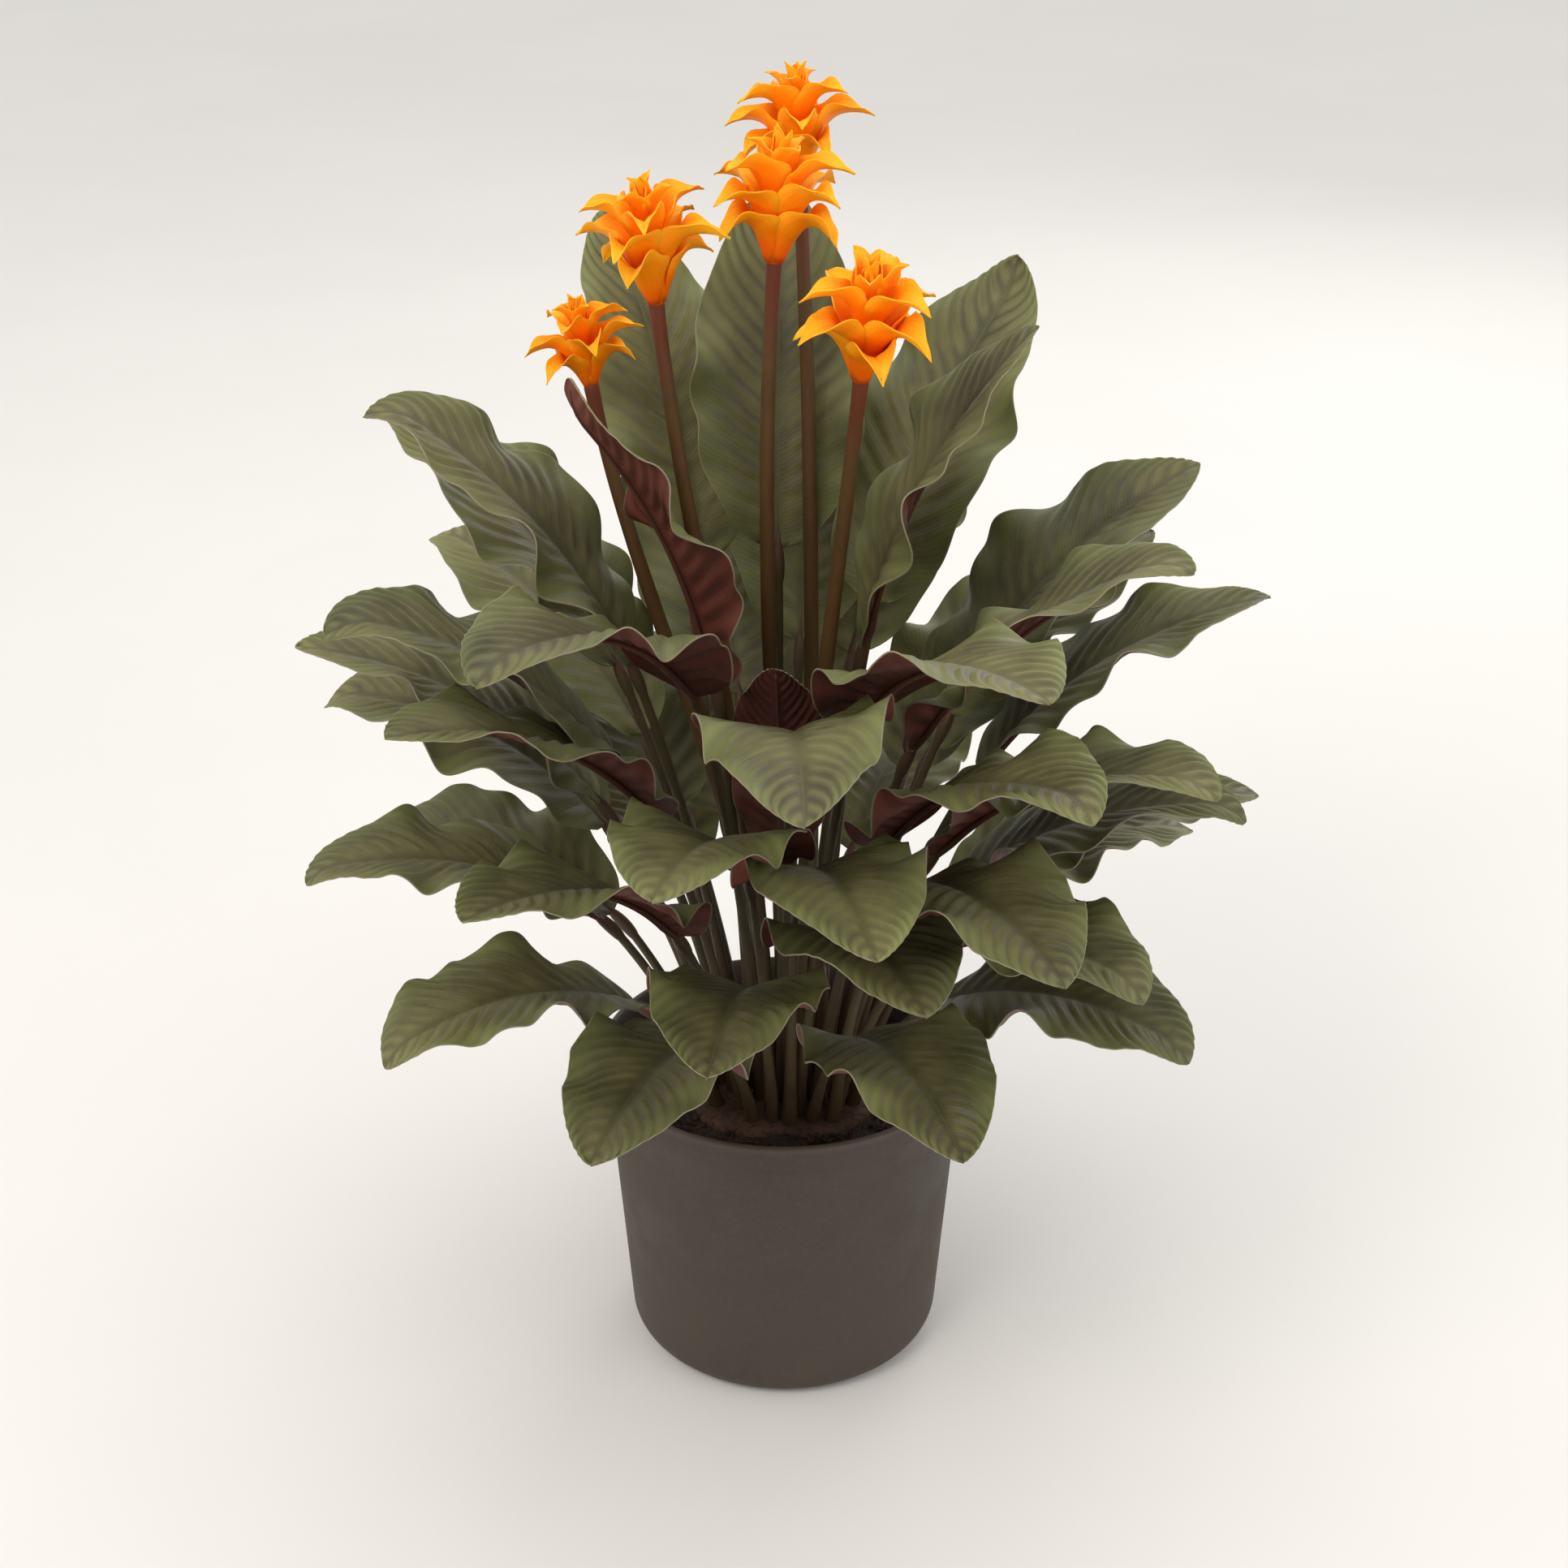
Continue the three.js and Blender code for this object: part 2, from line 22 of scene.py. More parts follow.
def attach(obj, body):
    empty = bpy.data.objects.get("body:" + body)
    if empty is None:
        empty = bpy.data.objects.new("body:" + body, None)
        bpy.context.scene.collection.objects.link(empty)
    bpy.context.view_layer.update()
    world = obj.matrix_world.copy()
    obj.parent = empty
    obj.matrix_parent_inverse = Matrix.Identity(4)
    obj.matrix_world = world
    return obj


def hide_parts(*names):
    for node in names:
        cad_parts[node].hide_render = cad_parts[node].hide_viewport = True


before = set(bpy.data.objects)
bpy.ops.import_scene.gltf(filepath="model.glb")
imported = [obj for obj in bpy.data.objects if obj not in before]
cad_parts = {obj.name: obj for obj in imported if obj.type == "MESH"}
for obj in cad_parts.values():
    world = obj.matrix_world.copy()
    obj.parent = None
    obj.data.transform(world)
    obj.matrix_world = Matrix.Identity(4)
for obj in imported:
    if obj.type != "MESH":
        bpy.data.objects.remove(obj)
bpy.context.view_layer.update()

log = logging.getLogger("calathea")

MM = 0.001
UP = Vector((0.0, 0.0, 1.0))

# The play between pieces that touch, the rootstock's top, the level that leaves and stems
# stand on there, and the number of pleats along each half of a blade.
GAP = 0.3
ROOT_TOP = 99.5
SPROUT_LEVEL = ROOT_TOP + GAP
PLEATS = 17.0

Colour = tuple[float, float, float]
Point = tuple[float, float, float]
Pair = tuple[float, float]
Vert = bmesh.types.BMVert
Edge = bmesh.types.BMEdge
Face = bmesh.types.BMFace
Material = bpy.types.Material
Socket = bpy.types.NodeSocket


# ---------------------------------------------------------------------------- helpers


def lerp(a: float, b: float, t: float) -> float:
    """Returns the value a share t of the way from a to b."""
    return a + (b - a) * t


def ease(low: float, high: float, x: float) -> float:
    """Returns a smooth step from 0 at low to 1 at high, for low above high too."""
    t = min(max((x - low) / (high - low), 0.0), 1.0)
    return t * t * (3.0 - 2.0 * t)


def polar(radius: float, angle: float, level: float = 0.0) -> Vector:
    """Returns the point at a distance and direction from the axis, and at a height."""
    return Vector((radius * math.cos(angle), radius * math.sin(angle), level))


@dataclass(frozen=True)
class Place:
    """A point in the plane of x (outwards) and z (up), with its lean from the vertical."""

    x: float
    z: float
    lean: float

    def axes(self, roll: float = 0.0) -> tuple[Vector, Vector, Vector]:
        """Works out the directions of a section here.

        Args:
            roll: how far the section is turned about its own axis, in radians.

        Returns:
            The directions along the axis, to the side, and out of the upper face.
        """
        along = Vector((math.sin(self.lean), 0.0, math.cos(self.lean)))
        side = Vector((0.0, 1.0, 0.0))
        side.rotate(Quaternion(along, roll))
        return along, side, along.cross(side)

    def point(self) -> Vector:
        """Returns the place as a point in space."""
        return Vector((self.x, 0.0, self.z))


@dataclass(frozen=True)
class Arc:
    """An arc whose lean from the vertical goes evenly between two angles in degrees."""

    x: float
    z: float
    length: float
    lean: Pair

    def at(self, t: float) -> Place:
        """Works out a place on the arc.

        Args:
            t: the share of the way along it.

        Returns:
            The place, with the arc's lean there.
        """
        start = math.radians(self.lean[0])
        sweep = math.radians(self.lean[1] - self.lean[0])
        now = start + sweep * t
        scale = self.length / sweep
        x = self.x + scale * (math.cos(start) - math.cos(now))
        z = self.z + scale * (math.sin(now) - math.sin(start))
        return Place(x, z, now)


@dataclass(frozen=True)
class Station:
    """One section of a round stalk: its centre, direction, radius and share of the way."""

    centre: Vector
    along: Vector
    radius: float
    share: float

    def matrix(self) -> Matrix:
        """Returns the transform that takes a unit circle to this section."""
        turn = self.along.to_track_quat("Z", "Y").to_matrix().to_4x4()
        return Matrix.Translation(self.centre) @ turn @ Matrix.Scale(self.radius, 4)


class Body:
    """A mesh under construction, with its materials and the attributes that they read.

    `along` runs from foot to tip, `across` from edge to edge, and `tone` is one value a
    leaf or bract, which keeps neighbours from looking alike.
    """

    def __init__(self) -> None:
        """Starts an empty mesh."""
        self.bm = bmesh.new()
        self.materials: list[Material] = []
        self.along = self.bm.verts.layers.float.new("along")
        self.across = self.bm.verts.layers.float.new("across")
        self.tone = self.bm.verts.layers.float.new("tone")

    def paint(self, faces: Iterable[Face], material: Material) -> None:
        """Gives faces a material.

        Args:
            faces: the faces.
            material: their material, which joins the piece's own if it is new there.
        """
        if material not in self.materials:
            self.materials.append(material)
        index = self.materials.index(material)
        for face in faces:
            face.material_index = index

    def sheet(self, columns: int, rows: int, tone: float,
              shape: Callable[[float, float], Vector]) -> list[Face]:
        """Makes a grid and bends it into a sheet.

        Args:
            columns: faces across the sheet.
            rows: faces along the sheet.
            tone: the sheet's tone.
            shape: gives the point for a share along and a place across, from -1 to 1.

        Returns:
            The sheet's faces, whose normals point out of its upper face.
        """
        grid = bmesh.ops.create_grid(self.bm, x_segments=columns, y_segments=rows, size=1.0)
        for vert in grid["verts"]:
            across, along = -vert.co.x, 0.5 + 0.5 * vert.co.y
            vert[self.across], vert[self.along], vert[self.tone] = across, along, tone
            vert.co = shape(along, across)
        return list({face for vert in grid["verts"] for face in vert.link_faces})

    def thicken(self, sheet: list[Face], thickness: Callable[[float], float],
                upper: Material, under: Material, rim: Material) -> None:
        """Gives a sheet its thickness, with a material on each side and round its rim.

        Args:
            sheet: the faces of the sheet, which become its underside.
            thickness: gives the thickness at a share along.
            upper: the material of the upper side.
            under: the material of the underside.
            rim: the material of the rim.
        """
        made = bmesh.ops.extrude_face_region(self.bm, geom=sheet, use_keep_orig=True)["geom"]
        faces = {item for item in made if isinstance(item, Face)}
        verts = [item for item in made if isinstance(item, Vert)]
        for face in faces:
            face.normal_update()
        normals = [sum((f.normal for f in v.link_faces if f in faces), Vector()) for v in verts]
        for vert, normal in zip(verts, normals):
            vert.co += normal.normalized() * thickness(vert[self.along])
        bmesh.ops.reverse_faces(self.bm, faces=sheet)
        walls = {f for v in verts for f in v.link_faces} - faces
        self.paint(faces, upper)
        self.paint(sheet, under)
        self.paint(walls, rim)
        for edge in {edge for wall in walls for edge in wall.edges}:
            edge.smooth = len([f for f in edge.link_faces if f in walls]) == 2

    def stalk(self, stations: Sequence[Station], sides: int, tone: float,
              material: Material) -> None:
        """Runs a round section along a row of stations and closes its ends.

        Args:
            stations: the sections, from the foot up.
            sides: how many sides the section has.
            tone: the stalk's tone.
            material: its material.
        """
        ring = bmesh.ops.create_circle(self.bm, cap_ends=False, segments=sides, radius=1.0)
        verts = ring["verts"]
        edges = list({edge for vert in verts for edge in vert.link_edges})
        shell: set[Face] = set()
        for index, station in enumerate(stations):
            step = station.matrix()
            if index == 0:
                caps = [edges]
            else:
                step = step @ stations[index - 1].matrix().inverted()
                made = bmesh.ops.extrude_edge_only(self.bm, edges=edges)["geom"]
                verts = [item for item in made if isinstance(item, Vert)]
                fresh = set(verts)
                edges = [item for item in made if isinstance(item, Edge)
                         and fresh.issuperset(item.verts)]
                shell.update(item for item in made if isinstance(item, Face))
            bmesh.ops.transform(self.bm, matrix=step, verts=verts)
            for vert in verts:
                vert[self.along], vert[self.tone] = station.share, tone
        caps.append(edges)
        for loop in caps:
            shell.update(bmesh.ops.edgeloop_fill(self.bm, edges=loop)["faces"])
        bmesh.ops.recalc_face_normals(self.bm, faces=list(shell))
        self.paint(shell, material)

    def spun(self, profile: Sequence[Pair], steps: int) -> list[Vert]:
        """Spins a profile all the way round +Z.

        Args:
            profile: radius and height of its points.
            steps: faces round the axis.

        Returns:
            The vertices of the profile, where the skin starts.
        """
        points = [self.bm.verts.new((radius, 0.0, level)) for radius, level in profile]
        for share, vert in enumerate(points):
            vert[self.along] = share / (len(points) - 1)
        edges = [self.bm.edges.new(pair) for pair in zip(points, points[1:])]
        bmesh.ops.spin(self.bm, geom=points + edges, cent=(0, 0, 0), axis=UP,
                       angle=math.tau, steps=steps, use_merge=True)
        return points

    def turned(self, profile: Sequence[Pair], steps: int, material: Material) -> list[Face]:
        """Spins a profile round +Z into a closed skin.

        Args:
            profile: radius and height of its points, from the axis round to the axis.
            steps: faces round the axis.
            material: its material.

        Returns:
            The faces of the skin, with their normals outwards.
        """
        verts = list(_connected(self.spun(profile, steps)))
        bmesh.ops.remove_doubles(self.bm, verts=verts, dist=1e-4)
        skin = list({face for vert in verts if vert.is_valid for face in vert.link_faces})
        bmesh.ops.recalc_face_normals(self.bm, faces=skin)
        self.paint(skin, material)
        return skin

    def finish(self, name: str, node: str) -> bpy.types.Object:
        """Turns the mesh into a piece that stands for a CAD node.

        Args:
            name: the piece's name.
            node: the CAD node that it replaces.

        Returns:
            The piece, riding on the plant's only body.
        """
        bmesh.ops.scale(self.bm, vec=(MM, MM, MM), verts=self.bm.verts)
        for face in self.bm.faces:
            face.smooth = True
        mesh = bpy.data.meshes.new(name)
        self.bm.to_mesh(mesh)
        self.bm.free()
        for material in self.materials:
            mesh.materials.append(material)
        piece = bpy.data.objects.new(name, mesh)
        bpy.context.scene.collection.objects.link(piece)
        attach(piece, "root")
        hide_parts(node)
        log.info("%s: %d faces, for %s", name, len(mesh.polygons), node)
        return piece


def _connected(seeds: Iterable[Vert]) -> set[Vert]:
    """Follows a mesh's edges.

    Args:
        seeds: the vertices to start from.

    Returns:
        Every vertex that edges join to them, and themselves.
    """
    found = set(seeds)
    front = list(found)
    while front:
        vert = front.pop()
        for edge in vert.link_edges:
            other = edge.other_vert(vert)
            if other not in found:
                found.add(other)
                front.append(other)
    return found


# --------------------------------------------------------------------------- finishes


class Graph:
    """The node tree of a material or a shared group, with short ways to fill it."""

    def __init__(self, tree: bpy.types.NodeTree) -> None:
        """Starts from an existing tree."""
        self.tree = tree

    def add(self, kind: str, **settings: object) -> bpy.types.Node:
        """Adds a node.

        Args:
            kind: the node's type.
            settings: the properties to set on it.

        Returns:
            The node.
        """
        node = self.tree.nodes.new(kind)
        for name, value in settings.items():
            setattr(node, name, value)
        return node

    def feed(self, socket: Socket, value: object) -> None:
        """Gives an input its value.

        Args:
            socket: the input.
            value: a socket to link into it, or a number or a colour to write there.
        """
        if isinstance(value, Socket):
            self.tree.links.new(value, socket)
        elif isinstance(value, tuple) and socket.type == "RGBA":
            socket.default_value = (*value, 1.0)
        else:
            socket.default_value = value

    def math(self, operation: str, *values: object, clamp: bool = False) -> Socket:
        """Adds a Math node.

        Args:
            operation: what it works out.
            values: its inputs, each a socket or a number.
            clamp: whether the result is held between 0 and 1.

        Returns:
            Its result.
        """
        node = self.add("ShaderNodeMath", operation=operation, use_clamp=clamp)
        for socket, value in zip(node.inputs, values):
            self.feed(socket, value)
        return node.outputs[0]

    def times(self, first: object, second: object) -> Socket:
        """Multiplies two values, each a socket or a number."""
        return self.math("MULTIPLY", first, second)

    def plus(self, first: object, second: object) -> Socket:
        """Adds two values, each a socket or a number."""
        return self.math("ADD", first, second)

    def scaled(self, value: object, factor: object, offset: object) -> Socket:
        """Multiplies a value by a factor and adds an offset."""
        return self.math("MULTIPLY_ADD", value, factor, offset)

    def blend(self, factor: object, first: object, second: object,
              mode: str = "MIX") -> Socket:
        """Mixes two colours.

        Args:
            factor: the share of the second colour.
            first: a socket or three numbers.
            second: a socket or three numbers.
            mode: how the second goes over the first.

        Returns:
            The mixed colour.
        """
        node = self.add("ShaderNodeMix", data_type="RGBA", blend_type=mode)
        for name, value in (("Factor_Float", factor), ("A_Color", first), ("B_Color", second)):
            socket = next(item for item in node.inputs if item.identifier == name)
            self.feed(socket, value)
        return next(item for item in node.outputs if item.identifier == "Result_Color")

    def smooth(self, value: object, low: float, high: float,
               start: float = 0.0, end: float = 1.0) -> Socket:
        """Maps a value to a smooth step.

        Args:
            value: the value.
            low: where the step begins.
            high: where it ends.
            start: the result up to low.
            end: the result from high on.

        Returns:
            The result.
        """
        node = self.add("ShaderNodeMapRange", interpolation_type="SMOOTHSTEP")
        for name, item in (("Value", value), ("From Min", low), ("From Max", high),
                           ("To Min", start), ("To Max", end)):
            self.feed(node.inputs[name], item)
        return node.outputs["Result"]

    def noise(self, vector: object, scale: object, detail: float, roughness: float) -> Socket:
        """Adds a noise texture.

        Args:
            vector: the place that it is read at.
            scale: how fine it is.
            detail: how many finer layers it has.
            roughness: how strong they are.

        Returns:
            Its value, from 0 to 1.
        """
        node = self.add("ShaderNodeTexNoise")
        for name, item in (("Vector", vector), ("Scale", scale), ("Detail", detail),
                           ("Roughness", roughness)):
            self.feed(node.inputs[name], item)
        return node.outputs["Fac"]

    def place(self, stretch: Point = (1.0, 1.0, 1.0)) -> Socket:
        """Reads the piece's own coordinates.

        Args:
            stretch: what each coordinate is multiplied by.

        Returns:
            The place on the surface.
        """
        source = self.add("ShaderNodeTexCoord").outputs["Object"]
        node = self.add("ShaderNodeMapping")
        node.inputs["Scale"].default_value = stretch
        self.tree.links.new(source, node.inputs["Vector"])
        return node.outputs["Vector"]

    def attribute(self, name: str) -> Socket:
        """Reads one of the attributes that a Body writes."""
        return self.add("ShaderNodeAttribute", attribute_name=name).outputs["Fac"]

    def shared(self, group: bpy.types.NodeTree, output: str, **values: object) -> Socket:
        """Places a shared group.

        Args:
            group: the group.
            output: the output that is read.
            values: the group's inputs, by name.

        Returns:
            That output.
        """
        node = self.add("ShaderNodeGroup", node_tree=group)
        for name, value in values.items():
            self.feed(node.inputs[name], value)
        return node.outputs[output]


def _group(name: str, inputs: dict[str, str], outputs: Sequence[str]) -> tuple[Graph, dict, dict]:
    """Starts a shared node group.

    Args:
        name: the group's name.
        inputs: its input sockets, by name, with their kinds: Float or Vector.
        outputs: the names of its outputs, which are all values.

    Returns:
        Its graph, its inputs as sockets to read, and its outputs as sockets to feed.
    """
    tree = bpy.data.node_groups.new(name, "ShaderNodeTree")
    for label, kind in inputs.items():
        tree.interface.new_socket(label, in_out="INPUT", socket_type=f"NodeSocket{kind}")
    for label in outputs:
        tree.interface.new_socket(label, in_out="OUTPUT", socket_type="NodeSocketFloat")
    graph = Graph(tree)
    source, sink = graph.add("NodeGroupInput"), graph.add("NodeGroupOutput")
    return graph, {n: source.outputs[n] for n in inputs}, {n: sink.inputs[n] for n in outputs}


@dataclass
class SharedEffects:
    """The node groups that several finishes use, each built once.

    `drift` is how far the painted light and shade along the pleats wander, in turns, and
    `fine_veins` is how many veins there are to each pleat.
    """

    cloud_span: Pair = (0.32, 0.68)
    hollow_span: Pair = (0.55, 0.35)
    rib_span: Pair = (0.02, 0.2)
    drift: float = 0.5
    drift_scale: float = 60.0
    fine_veins: float = 5.0

    def __post_init__(self) -> None:
        """Builds the groups."""
        self.mottle = self._mottle()
        self.pleats = self._pleats()
        self.edge = self._edge()
        self.grain = self._grain()

    def _mottle(self) -> bpy.types.NodeTree:
        """Makes soft cloudy patches.

        Returns:
            The group, whose mask is 0 in some patches and 1 in others.
        """
        graph, given, out = _group("mottle", {"Vector": "Vector", "Scale": "Float"}, ["Mask"])
        cloud = graph.noise(given["Vector"], given["Scale"], detail=4.0, roughness=0.6)
        graph.feed(out["Mask"], graph.smooth(cloud, *self.cloud_span))
        return graph.tree

    def _pleats(self) -> bpy.types.NodeTree:
        """Makes painted light and shade in step with a blade's pleats, partly real stripes, and
        finer veins between them.

        Returns:
            The group, with a mask of the painted pleat shading and one of the veins.
        """
        graph, given, out = _group("pleats", {"Along": "Float", "Across": "Float",
                                              "Count": "Float", "Vector": "Vector"},
                                   ["PleatShading", "Veins"])
        other = graph.times(graph.math("LESS_THAN", given["Across"], 0.0), 0.5)
        drift = graph.noise(given["Vector"], self.drift_scale, detail=2.0, roughness=0.55)
        turns = graph.plus(graph.times(given["Along"], given["Count"]), other)
        turns = graph.plus(turns, graph.times(drift, self.drift))
        angle = graph.times(turns, math.tau)
        # painted light and shade: lighter and darker in step with the pleats, partly the blade's
        # own stripes
        wave = graph.scaled(graph.math("COSINE", angle), 0.5, 0.5)
        fine = graph.math("COSINE", graph.times(angle, self.fine_veins))
        away = graph.smooth(graph.math("ABSOLUTE", given["Across"]), *self.rib_span)
        graph.feed(out["PleatShading"], graph.times(wave, away))
        graph.feed(out["Veins"], graph.scaled(fine, 0.5, 0.5))
        return graph.tree

    def _edge(self) -> bpy.types.NodeTree:
        """Makes the strip along both edges of a blade or a bract.

        Returns:
            The group, with a mask of the strip.
        """
        graph, given, out = _group("edge_strip", {"Across": "Float", "Start": "Float",
                                                  "End": "Float"}, ["Mask"])
        away = graph.math("ABSOLUTE", given["Across"])
        graph.feed(out["Mask"], graph.smooth(away, given["Start"], given["End"]))
        return graph.tree

    def _grain(self) -> bpy.types.NodeTree:
        """Makes fine grain.

        Returns:
            The group, with a height for bump and a mask of the hollows.
        """
        graph, given, out = _group("grain", {"Vector": "Vector", "Scale": "Float"},
                                   ["Height", "Hollows"])
        fine = graph.noise(given["Vector"], given["Scale"], detail=5.0, roughness=0.65)
        graph.feed(out["Height"], fine)
        graph.feed(out["Hollows"], graph.smooth(fine, *self.hollow_span))
        return graph.tree


@dataclass(frozen=True)
class Finish:
    """A finish: the constants that go on its shader, and its pattern over the surface.

    `patch` and `grain` are the noise scales of its cloudy patches and its fine grain, and
    `roughness` holds its roughness where the pattern's mask is 0 and where it is 1. In
    every finish a span is the pair of places between which something comes in, and a share
    is how strong it gets.
    """

    name: str
    specular: float = 0.5
    subsurface: float = 0.0
    glow_radius: Point = (1.0, 0.2, 0.1)
    glow_scale: float = 0.001
    bump_strength: float = 0.3
    bump_distance: float = 0.0003
    patch: float = 38.0
    grain: float = 1400.0
    roughness: Pair = (0.44, 0.58)

    def make(self, effects: SharedEffects) -> Material:
        """Builds the material.

        Args:
            effects: the shared node groups.

        Returns:
            The material, with its colour, roughness and bump from the pattern.
        """
        material = bpy.data.materials.new(self.name)
        material.use_nodes = True
        graph = Graph(material.node_tree)
        shader = material.node_tree.nodes["Principled BSDF"]
        shader.inputs["Specular IOR Level"].default_value = self.specular
        shader.inputs["Subsurface Weight"].default_value = self.subsurface
        if self.subsurface:
            shader.inputs["Subsurface Radius"].default_value = self.glow_radius
            shader.inputs["Subsurface Scale"].default_value = self.glow_scale
        colour, mask, height = self.pattern(graph, effects)
        bump = graph.add("ShaderNodeBump")
        bump.inputs["Strength"].default_value = self.bump_strength
        bump.inputs["Distance"].default_value = self.bump_distance
        graph.feed(bump.inputs["Height"], height)
        graph.feed(shader.inputs["Base Color"], colour)
        graph.feed(shader.inputs["Roughness"], graph.smooth(mask, 0.0, 1.0, *self.roughness))
        graph.feed(shader.inputs["Normal"], bump.outputs["Normal"])
        return material

    def pattern(self, graph: Graph, effects: SharedEffects) -> tuple[Socket, Socket, Socket]:
        """Lays the pattern out, which each finish does in its own way.

        Args:
            graph: the material's node tree.
            effects: the shared node groups.

        Returns:
            The sockets of the colour, the mask of the roughness and the bump's height.
        """
        raise NotImplementedError

    def clouds(self, graph: Graph, effects: SharedEffects, place: Socket) -> Socket:
        """Returns the mask of the cloudy patches at a place on the surface."""
        return graph.shared(effects.mottle, "Mask", Vector=place, Scale=self.patch)

    def fine(self, graph: Graph, effects: SharedEffects, place: Socket,
             output: str = "Height") -> Socket:
        """Returns the height of the fine grain at a place, or the mask of its hollows."""
        return graph.shared(effects.grain, output, Vector=place, Scale=self.grain)


@dataclass(frozen=True)
class BladeFinish(Finish):
    """One side of a leaf blade: painted light and shade in step with its pleats, partly its own
    darker stripes, and a pale line at its edge.
    """

    # dark and light are the painted shade and light of the pleats, partly the blade's own stripes
    dark: Colour = (0.058, 0.056, 0.025)
    light: Colour = (0.190, 0.184, 0.072)
    margin: Colour = (0.165, 0.204, 0.064)
    margin_span: Pair = (0.45, 0.97)
    margin_share: float = 0.42
    line: Colour = (0.215, 0.192, 0.105)
    line_span: Pair = (0.983, 0.993)
    midrib: Colour = (0.105, 0.110, 0.045)
    midrib_span: Pair = (0.03, 0.012)
    midrib_share: float = 0.6
    pleat_shading_share: float = 0.55
    vein_share: float = 0.06
    vein_height: float = 0.35
    shades: Pair = (0.78, 1.22)

    def pattern(self, graph: Graph, effects: SharedEffects) -> tuple[Socket, Socket, Socket]:
        """Lays out painted pleat shading, veins, patches, margin, midrib and edge line, as in
        Finish.
        """
        place = graph.place()
        along, across = graph.attribute("along"), graph.attribute("across")
        marks = dict(Along=along, Across=across, Count=PLEATS, Vector=place)
        # painted light and shade along the pleats, partly real darker stripes
        pleat_shading = graph.shared(effects.pleats, "PleatShading", **marks)
        veins = graph.shared(effects.pleats, "Veins", **marks)
        clouds = self.clouds(graph, effects, place)
        share = graph.scaled(pleat_shading, self.pleat_shading_share, graph.times(clouds, 1.0 - self.pleat_shading_share))
        share = graph.math("ADD", share, graph.times(veins, self.vein_share), clamp=True)
        colour = graph.blend(share, self.dark, self.light)
        near = self._strip(graph, effects, across, self.margin_span)
        colour = graph.blend(graph.times(near, self.margin_share), colour, self.margin)
        rib = graph.smooth(graph.math("ABSOLUTE", across), *self.midrib_span)
        colour = graph.blend(graph.times(rib, self.midrib_share), colour, self.midrib)
        shade = graph.smooth(graph.attribute("tone"), 0.0, 1.0, *self.shades)
        grey = graph.add("ShaderNodeCombineColor")
        for socket in grey.inputs:
            graph.feed(socket, shade)
        colour = graph.blend(1.0, colour, grey.outputs["Color"], "MULTIPLY")
        edge = self._strip(graph, effects, across, self.line_span)
        colour = graph.blend(edge, colour, self.line)
        grain = self.fine(graph, effects, place)
        return colour, clouds, graph.scaled(veins, self.vein_height, grain)

    @staticmethod
    def _strip(graph: Graph, effects: SharedEffects, across: Socket, span: Pair) -> Socket:
        """Returns the mask of a strip along both edges, which comes in over a span."""
        return graph.shared(effects.edge, "Mask", Across=across, Start=span[0], End=span[1])


@dataclass(frozen=True)
class StalkFinish(Finish):
    """A stalk with a colour at its foot, one part of the way up, and one at its top."""

    patch: float = 90.0
    grain: float = 2400.0
    roughness: Pair = (0.38, 0.55)
    foot: Colour = (0.095, 0.072, 0.028)
    middle: Colour = (0.098, 0.050, 0.018)
    top: Colour = (0.128, 0.030, 0.012)
    middle_span: Pair = (0.10, 0.55)
    top_span: Pair = (0.60, 0.97)
    streak: float = 900.0
    streak_stretch: Point = (1.0, 1.0, 0.08)
    streak_share: float = 0.35
    streak_shade: float = 0.35

    def pattern(self, graph: Graph, effects: SharedEffects) -> tuple[Socket, Socket, Socket]:
        """Lays out the three colours and darker streaks along the stalk, as in Finish."""
        along = graph.attribute("along")
        drawn_out = graph.place(self.streak_stretch)
        streak = graph.shared(effects.mottle, "Mask", Vector=drawn_out, Scale=self.streak)
        patch = self.clouds(graph, effects, graph.place())
        colour = graph.blend(graph.smooth(along, *self.middle_span), self.foot, self.middle)
        colour = graph.blend(graph.smooth(along, *self.top_span), colour, self.top)
        marks = graph.times(graph.times(streak, patch), self.streak_share)
        shaded = tuple(self.streak_shade * part for part in self.middle)
        colour = graph.blend(marks, colour, shaded)
        return colour, streak, self.fine(graph, effects, drawn_out)


